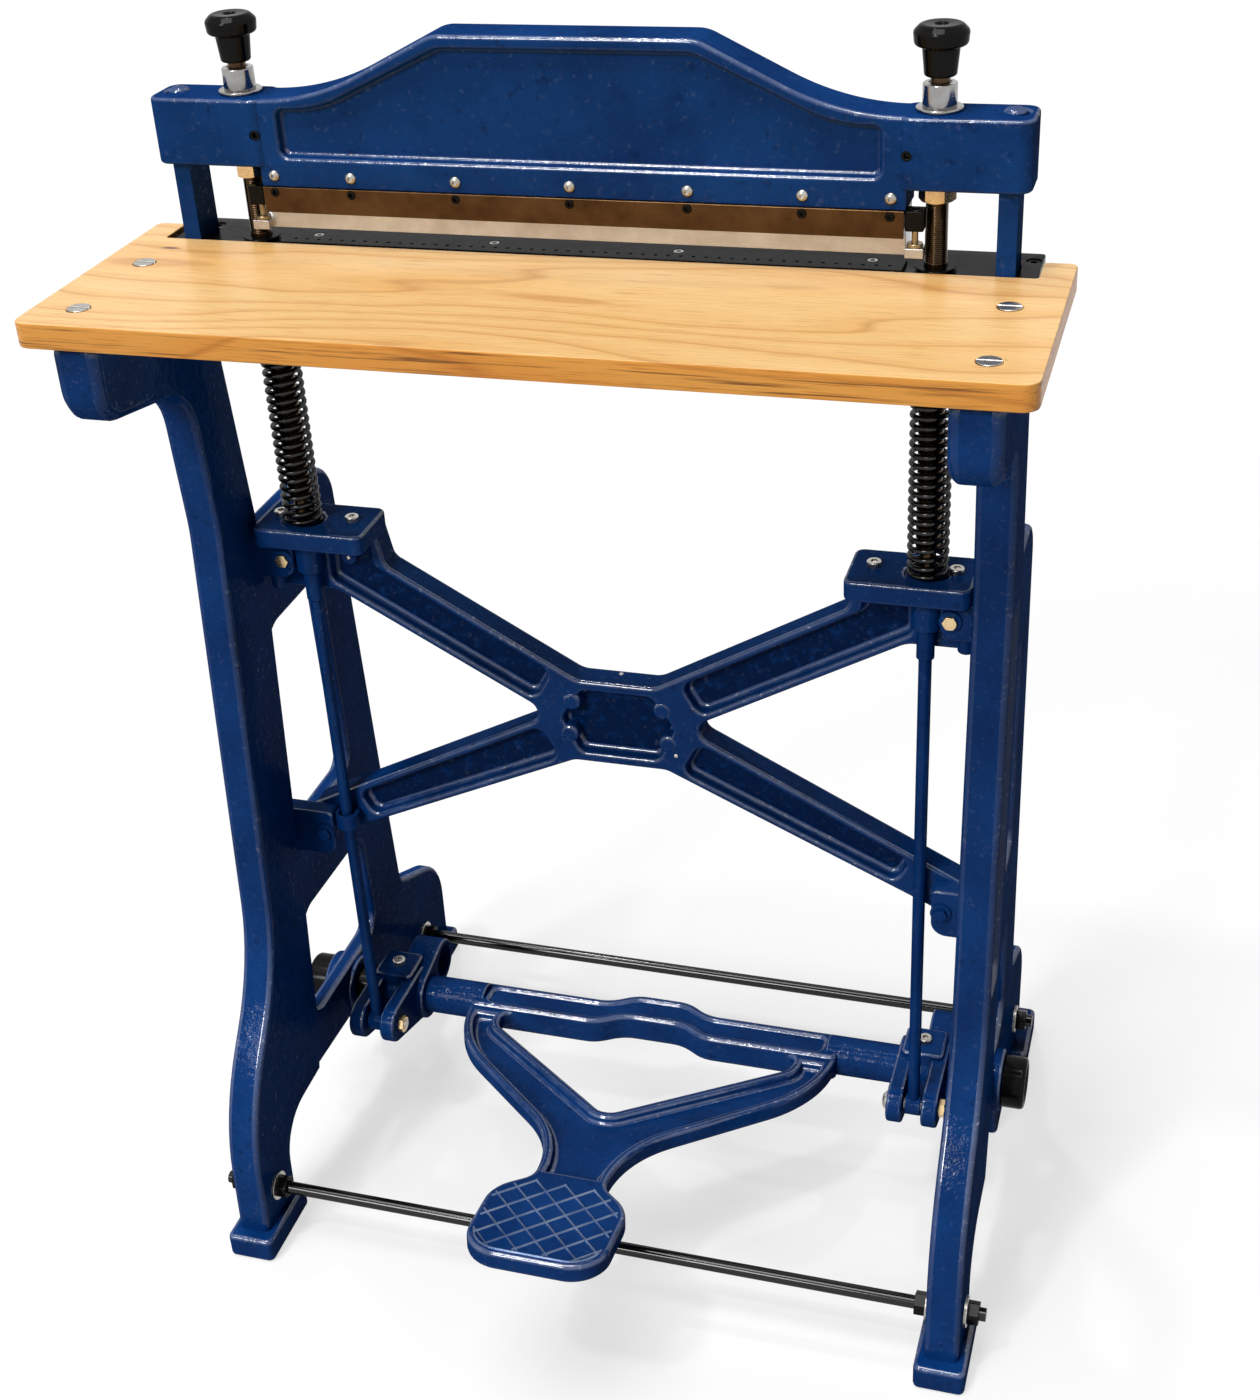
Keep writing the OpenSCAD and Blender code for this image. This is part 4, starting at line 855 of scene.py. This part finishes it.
def crank(node, middle):
    top = rectangle((middle - TOP_HALF, PIVOT[0] - TOP_HALF), (middle + TOP_HALF, PIVOT[0] + TOP_HALF),
                    TOP_CORNER)
    ear = link(PIVOT, CLAMP_R, (0, PIN_Z), EAR_R)
    shells = [plate(across(), circle(PIVOT, CLAMP_R), middle - EAR_OUT, middle + EAR_OUT, CLAMP_EDGE),
              plate(level(), top, PIVOT[1], PIVOT[1] + TOP_H, TOP_EDGE),
              plate(across(), link(PIVOT, NECK_R, TAIL, TAIL_R), middle, middle + TAIL_END, CLAMP_EDGE)]
    for start in (middle - EAR_OUT, middle + EAR_IN):
        shells.append(plate(across(), ear, start, start + EAR_OUT - EAR_IN, EAR_EDGE))
    cuts = [plate(across(), circle(PIVOT, CLAMP_BORE), middle - CLAMP_OPEN, middle + EAR_OUT + 1, 0),
            plate(across(), circle(PIVOT, STUB_ROOM), middle + EAR_OUT, middle + STUB_OPEN, 0),
            plate(across(), circle(TAIL, TAIL_BORE), middle + TAIL_FLOOR, middle + TAIL_OPEN, 0)]
    fused(node, shells, cuts)


crank("crank_left", -ROD_X)
crank("crank_right", ROD_X)


# Springs: round wire with closed end curls

WIRE_R, COIL_R, COIL_PITCH = 2.25, 14.75, 8.05
WIRE_SIDES, CURL_STEPS = 10, 24
CURL_GAP = 0.2


def spring(node, x):
    low, high = SPRING_LOW + WIRE_R, SPRING_TOP - WIRE_R
    closing = 2 * WIRE_R + CURL_GAP
    active = (high - low - 2 * closing) / COIL_PITCH
    count = round((active + 2) * CURL_STEPS)
    path = []
    for i in range(count + 1):
        turn = i / CURL_STEPS
        z = low + closing * min(turn, 1) + COIL_PITCH * min(max(turn - 1, 0), active)
        z += closing * max(turn - 1 - active, 0)
        angle = tau * turn
        path.append(Vector((COIL_R * cos(angle), COIL_R * sin(angle), min(z, high))))
    bm = bmesh.new()
    rings = []
    for i, p in enumerate(path):
        along = (path[min(i + 1, count)] - path[max(i - 1, 0)]).normalized()
        out = Vector((p.x, p.y, 0)).normalized()
        up = along.cross(out)
        ring = []
        for k in range(WIRE_SIDES):
            angle = tau * k / WIRE_SIDES
            q = p + WIRE_R * (out * cos(angle) + up * sin(angle))
            ring.append(bm.verts.new(level()(x + q.x, q.y, q.z)))
        rings.append(ring)
    piece = stand_in(new_piece(node + "_coil", tube(bm, rings), spring_black, sharp=COIL_ANGLE), node)
    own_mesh(piece)


spring("return_spring_left", -ROD_X)
spring("return_spring_right", ROD_X)


# Knobs, rods and what is threaded on the rods

FERRULE_Z, FERRULE_TOP, FERRULE_R, WASHER_R = 1072, 1088.5, 12.5, 17
KNOB_Z, KNOB_H, KNOB_R = 1093, 36, 20
KNOB = [(0, 0, 0), (11.6, 0, 2), (13.6, 21, 2), (KNOB_R - 1, 21, 3), (KNOB_R, KNOB_H - 5, 4),
        (KNOB_R - 5, KNOB_H, 5), (5, KNOB_H - 0.5, 1.5), (4, KNOB_H - 2.5, 1), (0, KNOB_H - 2.5, 0)]
CORE_R, ROD_R, SHANK_R, STUD_R, COLLET_R = 10, 8.5, 6.5, 5, 7
STUD_LOW, SHANK_LOW, CORE_LOW, CORE_TOP, ROD_TOP, STUD_TOP = 636, 650, 724, 891, 1088, 1117
THREAD_PITCH, THREAD_DEPTH, THREAD_LOW, THREAD_TOP = 1.5, 0.45, TABLE_Z + 3, BOX_Z - 12
NUT_FLATS, NUT_H = 24, 13
COLLAR_R, COLLAR_H = 18, 12
BUSH_BORE, BUSH_MOUTH, BUSH_R, FLANGE_R, BUSH_LOW = 8.55, 9.2, 12, 15.5, SEAT_Z - 22
COUPLING_LOW, COUPLING_R, COUPLING_BORE = 622, 7.5, 5.2


def turned_piece(node, look, build):
    """Piece that stands for a CAD node; build adds its turned forms to a bmesh."""
    bm = bmesh.new()
    build(bm)
    looks_used = look if isinstance(look, tuple) else (look,)
    stand_in(new_piece(node + "_turned", closed(bm), *looks_used), node)


def at_each(place, centres, rings, sides=(1,), **options):
    """Builder of the same turned form at these centres on these sides."""
    def build(bm):
        for side in sides:
            for centre in centres:
                turned(bm, place(side), centre, rings, **options)
    return build


def on_rods(rings, sides=SIDES, **options):
    return at_each(level, [(side * ROD_X, 0) for side in sides], rings, **options)


def sleeve(bore, low, high, radius, low_soft, high_soft, top_bore=None):
    """Rings of a sleeve with softened edges, which close on themselves."""
    return ([(bore, low)] + soft_edge(radius, low, low_soft, -1) + soft_edge(radius, high, high_soft)
            + [(top_bore or bore, high)])


def rod_rings():
    """Lifting rod from the stud under its boss to the stud in its knob."""
    def threaded(height):
        def at(angle):
            phase = (height / THREAD_PITCH + angle / tau) % 1
            return ROD_R - THREAD_DEPTH * abs(2 * phase - 1), height
        return at

    steps = int((THREAD_TOP - THREAD_LOW) / THREAD_PITCH * 4)
    neck_top = KNOB_Z - 0.3
    return ([(0, STUD_LOW), (STUD_R, STUD_LOW), (STUD_R, SHANK_LOW), (SHANK_R, SHANK_LOW),
             (SHANK_R, CORE_LOW), (CORE_R, CORE_LOW + 0.5), (CORE_R, CORE_TOP), (ROD_R, CORE_TOP + 1),
             (ROD_R, THREAD_LOW)]
            + [threaded(THREAD_LOW + THREAD_PITCH * k / 4) for k in range(1, steps)]
            + [(ROD_R, THREAD_TOP), (ROD_R, ROD_TOP), (COLLET_R, ROD_TOP + 0.5), (COLLET_R, neck_top),
               (STUD_R, neck_top), (STUD_R, STUD_TOP), (0, STUD_TOP)])


knob_rings = [(p.x, KNOB_Z + p.y) for p in rounded(KNOB, 6)]
for side, name in zip(SIDES, ("left", "right")):
    turned_piece("knob_" + name, plastic, on_rods(knob_rings, (side,), segments=64))
    turned_piece("spring_rod_" + name, rod_steel, on_rods(rod_rings(), (side,), segments=40))
for node, look, rings in (
        ("ferrules", chrome, [(ROD_R, FERRULE_Z), (FERRULE_R - 0.2, FERRULE_Z), (FERRULE_R, FERRULE_Z + 0.3)]
         + soft_edge(FERRULE_R, FERRULE_TOP, 1.2) + [(ROD_R, FERRULE_TOP)]),
        ("ferrule_washers", chrome, sleeve(ROD_R, BOX_TOP, FERRULE_Z, WASHER_R, 0.6, 1.2)),
        ("rod_nuts", brass, nut_rings(NUT_FLATS, BOX_Z - NUT_H, BOX_Z, ROD_R)),
        ("spring_collars", black,
         sleeve(CORE_R, SPRING_TOP, SPRING_TOP + COLLAR_H, COLLAR_R, 0.8, 1.5, top_bore=ROD_R)),
        ("rod_bushes", black, [(BUSH_BORE, BUSH_LOW), (BUSH_R, BUSH_LOW), (BUSH_R, BED_TOP)]
         + soft_edge(FLANGE_R, TABLE_Z, 0.8) + [(BUSH_MOUTH, TABLE_Z), (BUSH_BORE, TABLE_Z - 0.6)]),
        ("rod_couplings", enamel, sleeve(COUPLING_BORE, COUPLING_LOW, SHANK_LOW, COUPLING_R, 0.8, 1.2))):
    turned_piece(node, look, on_rods(rings, joined=True))


# Fasteners

SCREW_X = [s * 506 for s in (-0.48, -0.352, -0.181, 0, 0.181, 0.352, 0.48)]
RAIL_SCREWS = [(x, RAIL_Z + 8.5) for x in SCREW_X]
CLAMP_SCREWS = [(x, RAIL_Z - 4) for x in SCREW_X]
BRACKET_SCREWS = [(229, 4), (296, 4)]
CRANK_SCREWS = [(-ROD_X, PIVOT[0]), (ROD_X, PIVOT[0])]
BOLTS = [(BOLT_X, BOLT_LOW), (BOLT_X, BOLT_HIGH)]
BRACE_BACK, RAIL_SEAT, CLAMP_SEAT, CRANK_SEAT = -WALL_Y - BRACE_D, -HEAD_FRONT, 21, PIVOT[1] + TOP_H
BOLT_R, PIN_R = 5, 5


def shank_rings(shank, tail, head, seat):
    """Rings of a screw from its tail to the underside of its head."""
    return [(0, tail), (shank, tail), (shank, seat), (head, seat)]


def socket_screw(shank, tail, head, seat, height, soft, land, key, depth):
    """Rings of a cylinder-headed screw with a hexagon socket."""
    top = seat + height
    return (shank_rings(shank, tail, head, seat) + soft_edge(head, top, soft) + [(land, top)]
            + socket_rings(key, top, depth))


def brace_bolts(bm):
    """Upper bolts: painted flange and small bright hexagon; lower ones painted all over."""
    flats, tail = 11, BRACE_BACK - 11
    flange_top, hex_low, top = WALL_Y + 2.5, WALL_Y + 2, WALL_Y + 6
    flange = ([(0, tail), (BOLT_R, tail), (BOLT_R, WALL_Y)] + soft_edge(9.5, flange_top, 1.0)
              + [(0, flange_top)])
    hexagon = [(0, hex_low), hex_ring(flats, hex_low), hex_ring(flats, top, 1), (NUT_LAND * flats / 2, top),
               (0, top + 0.3)]
    for side in SIDES:
        for shown, centre in enumerate(BOLTS):
            turned(bm, facing(side), centre, flange)
            turned(bm, facing(side), centre, hexagon, look=shown)


def clevis_pin(x):
    head, seat, end = 8.5, x - EAR_OUT, x + 31
    button = [(r, seat - 1 - h) for r, h in dome(head, 0, 5)[::-1]]
    rings = [(0, seat - 6)] + button + [(head, seat), (PIN_R, seat), (PIN_R, end), (0, end + 1)]
    return at_each(across, [(0, PIN_Z)], rings)


def clevis_nuts(bm):
    for x in (-ROD_X, ROD_X):
        turned(bm, across(), (0, PIN_Z), nut_rings(15, x + EAR_OUT, x + EAR_OUT + 6, PIN_R), joined=True)


def hub_rings():
    """Black hub, dished round its stub."""
    radius, bore, low, high = 25, 15, FRAME_OUT + 0.6, FRAME_OUT + 22
    return ([(bore, low)] + soft_edge(radius, low, 1.0, -1) + soft_edge(radius, high, 4.0)
            + [(19, high - 0.6), (16.5, high - 3), (bore, high - 5)])


def pivot_stub(side):
    """Stub shaft with a bare end face, centre-drilled, inside the dished hub."""
    inner, collar, shaft, edge = 11, 19.5, 15, 14
    collar_in, collar_out, end = 299, FRAME_IN - 0.6, FRAME_OUT + 18
    black_part = [(0, 264), (inner, 264), (inner, collar_in), (collar, collar_in), (collar, collar_out),
                  (shaft, collar_out), (shaft, end - 2), (edge, end - 0.8)]
    bare_part = [(edge, end - 0.8), (12.5, end), (4, end), (3.2, end - 1), (0, end - 3)]

    def build(bm):
        for look, rings in enumerate((black_part, bare_part)):
            turned(bm, across(side), PIVOT, rings, segments=64, look=look)
    return build


def brace_plugs():
    """Small plugs in the brace: on top, on its lower rim and in the left bracket's hollow."""
    bm = bmesh.new()
    screw, floor = (-243.8, 656.8), -WALL_Y - CHANNEL_DEPTH
    root, top, radius = floor - 1, floor + 5, 7.5
    rings = [(0, root), (radius, root)] + soft_edge(radius, top, 1.5) + [(0, top)]
    turned(bm, facing(), screw, rings, look=1)
    plug, height = 2.2, 1.2
    for place, centre, low in ((level(), (0, 28.8), BRACE_Z + 40), (facing(), (52.9, 491.4), -WALL_Y),
                               (facing(), screw, top)):
        rings = [(0, low - 1), (plug, low - 1)] + dome(plug, low, height) + [(0, low + height)]
        turned(bm, place, centre, rings, segments=20)
    piece = new_piece("brace_plugs", closed(bm), steel, enamel)
    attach(piece, "stand")


brace_plugs()
rail_screw = (shank_rings(shank=2, tail=RAIL_SEAT - 18, head=4.75, seat=RAIL_SEAT - 0.5)
              + dome(4.75, RAIL_SEAT, height=3, flat=2.4) + [(2.3, RAIL_SEAT + 2.7)]
              + socket_rings(3.2, RAIL_SEAT + 2.7, depth=1.6))
post_bolt = (shank_rings(shank=4, tail=994, head=8.5, seat=BOX_TOP - CAP_DEPTH)
             + dome(8.5, BOX_TOP - 0.5, height=4) + [(0, BOX_TOP + 3.5)])
clamp_screw = socket_screw(shank=1.5, tail=CLAMP_SEAT - 6, head=3.3, seat=CLAMP_SEAT, height=4.5, soft=0.5,
                           land=2.2, key=3.4, depth=2)
bracket_screw = socket_screw(shank=3, tail=BRACKET_Z - 13, head=6, seat=BRACKET_Z, height=5, soft=1.0,
                             land=3.6, key=5.5, depth=2.5)
crank_screw = socket_screw(shank=4, tail=145, head=6.5, seat=CRANK_SEAT, height=5.5, soft=1.4, land=3.6,
                           key=5.0, depth=3)
brace_nut = nut_rings(17, BRACE_BACK - 8, BRACE_BACK, BOLT_R)
for node, look, build in (
        ("rail_screws", steel, at_each(facing, RAIL_SCREWS, rail_screw, segments=24)),
        ("clamp_screws", black, at_each(facing, CLAMP_SCREWS, clamp_screw, segments=24)),
        ("post_bolts", enamel_edge, at_each(level, [(POST_X, 0)], post_bolt, SIDES)),
        ("brace_bolts", (enamel, brass), brace_bolts),
        ("brace_nuts", steel, at_each(facing, BOLTS, brace_nut, SIDES, joined=True)),
        ("bracket_screws", steel, at_each(level, BRACKET_SCREWS, bracket_screw, SIDES, segments=36)),
        ("crank_screws", steel, at_each(level, CRANK_SCREWS, crank_screw, segments=36)),
        ("clevis_pin_left", steel, clevis_pin(-ROD_X)),
        ("clevis_pin_right", steel, clevis_pin(ROD_X)),
        ("clevis_nuts", brass, clevis_nuts),
        ("pivot_hubs", black, at_each(across, [PIVOT], hub_rings(), SIDES, joined=True, segments=64)),
        ("pivot_stub_left", (black, bronze), pivot_stub(-1)),
        ("pivot_stub_right", (black, bronze), pivot_stub(1))):
    turned_piece(node, look, build)


# Everything else: the CAD solids with softened edges

SOFT_EDGES = {"bed_casting": 1.0, "table_board": 1.5, "rod_guide": 1.0, "guide_post_left": 0.8,
              "guide_post_right": 0.8}
FINE_EDGE = 0.3
OWN_LOOKS = {"needle_clamp": brown_steel, "needle_block": brown_steel, "stripper_bar": pale_strip,
             "stripper_studs": bronze, "tie_rod_front": spring_black, "tie_rod_rear": spring_black}
for node in sorted(set(nodes) - replaced):
    dressed(node, SOFT_EDGES.get(node, FINE_EDGE), OWN_LOOKS.get(node), 2 if node in SOFT_EDGES else 1)


# Camera, light and floor

def camera_at(position, azimuth, elevation, roll, lens):
    """Camera looking azimuth to the left of +Y and elevation downwards, turned by roll."""
    az, el, turn = (radians(a) for a in (azimuth, elevation, roll))
    forward = Vector((-sin(az) * cos(el), cos(az) * cos(el), -sin(el)))
    flat = Vector((cos(az), sin(az), 0))
    down = forward.cross(flat)
    right = flat * cos(turn) + down * sin(turn)
    up = flat * sin(turn) - down * cos(turn)
    data = bpy.data.cameras.new("camera")
    data.lens = lens
    data.sensor_width = 36
    camera = in_scene("camera", data)
    camera.matrix_world = Matrix.Translation(position) @ Matrix((right, up, -forward)).transposed().to_4x4()
    scene.camera = camera


def far_softbox(name, towards, strength, spread):
    """Even light from one direction; spread is the angle it covers, in degrees."""
    data = bpy.data.lights.new(name, "SUN")
    data.energy = strength
    data.angle = radians(spread)
    lamp = in_scene(name, data)
    lamp.matrix_world = (-Vector(towards)).to_track_quat("-Z", "Y").to_matrix().to_4x4()


def white_surroundings(glow):
    """White to the camera, mirrors and glass; otherwise a plain soft glow."""
    world = bpy.data.worlds.new("studio")
    scene.world = world
    world.use_nodes = True
    background = world.node_tree.nodes["Background"]
    background.inputs["Color"].default_value = (1, 1, 1, 1)
    s = Nodes(world.node_tree)
    s.tree.links.new(s.ranged(s.seen(), 0.0, 1.0, glow), background.inputs["Strength"])


def pale_floor(half, shade, lift):
    """Pale floor that keeps the shadow; the lift makes it white to camera, mirrors and glass."""
    bm = bmesh.new()
    bmesh.ops.create_grid(bm, x_segments=8, y_segments=8, size=half)
    s = Shader("floor", Roughness=0.9, Specular_IOR_Level=0.0, Emission_Color=(1, 1, 1, 1))
    s.bsdf.inputs["Base Color"].default_value = (*grey(shade), 1)
    lifted = s.math("MULTIPLY", s.seen(), lift)
    new_piece("floor", bm, s.wire(Emission_Strength=lifted))


camera_at((0.4936, -1.43733, 1.4612), azimuth=18.25, elevation=30.86, roll=3.44, lens=52.34)
white_surroundings(glow=0.02)
far_softbox("overhead", (-0.12, -0.15, 1.0), strength=1.7, spread=32)
far_softbox("key", (-0.3, -0.45, 1.0), strength=0.6, spread=4)
far_softbox("back", (-0.27, 0.28, 0.92), strength=0.35, spread=3)
far_softbox("front", (-0.35, -1.0, 0.7), strength=1.3, spread=18)
pale_floor(half=25.0, shade=0.38, lift=0.64)

scene.view_settings.view_transform = "Standard"
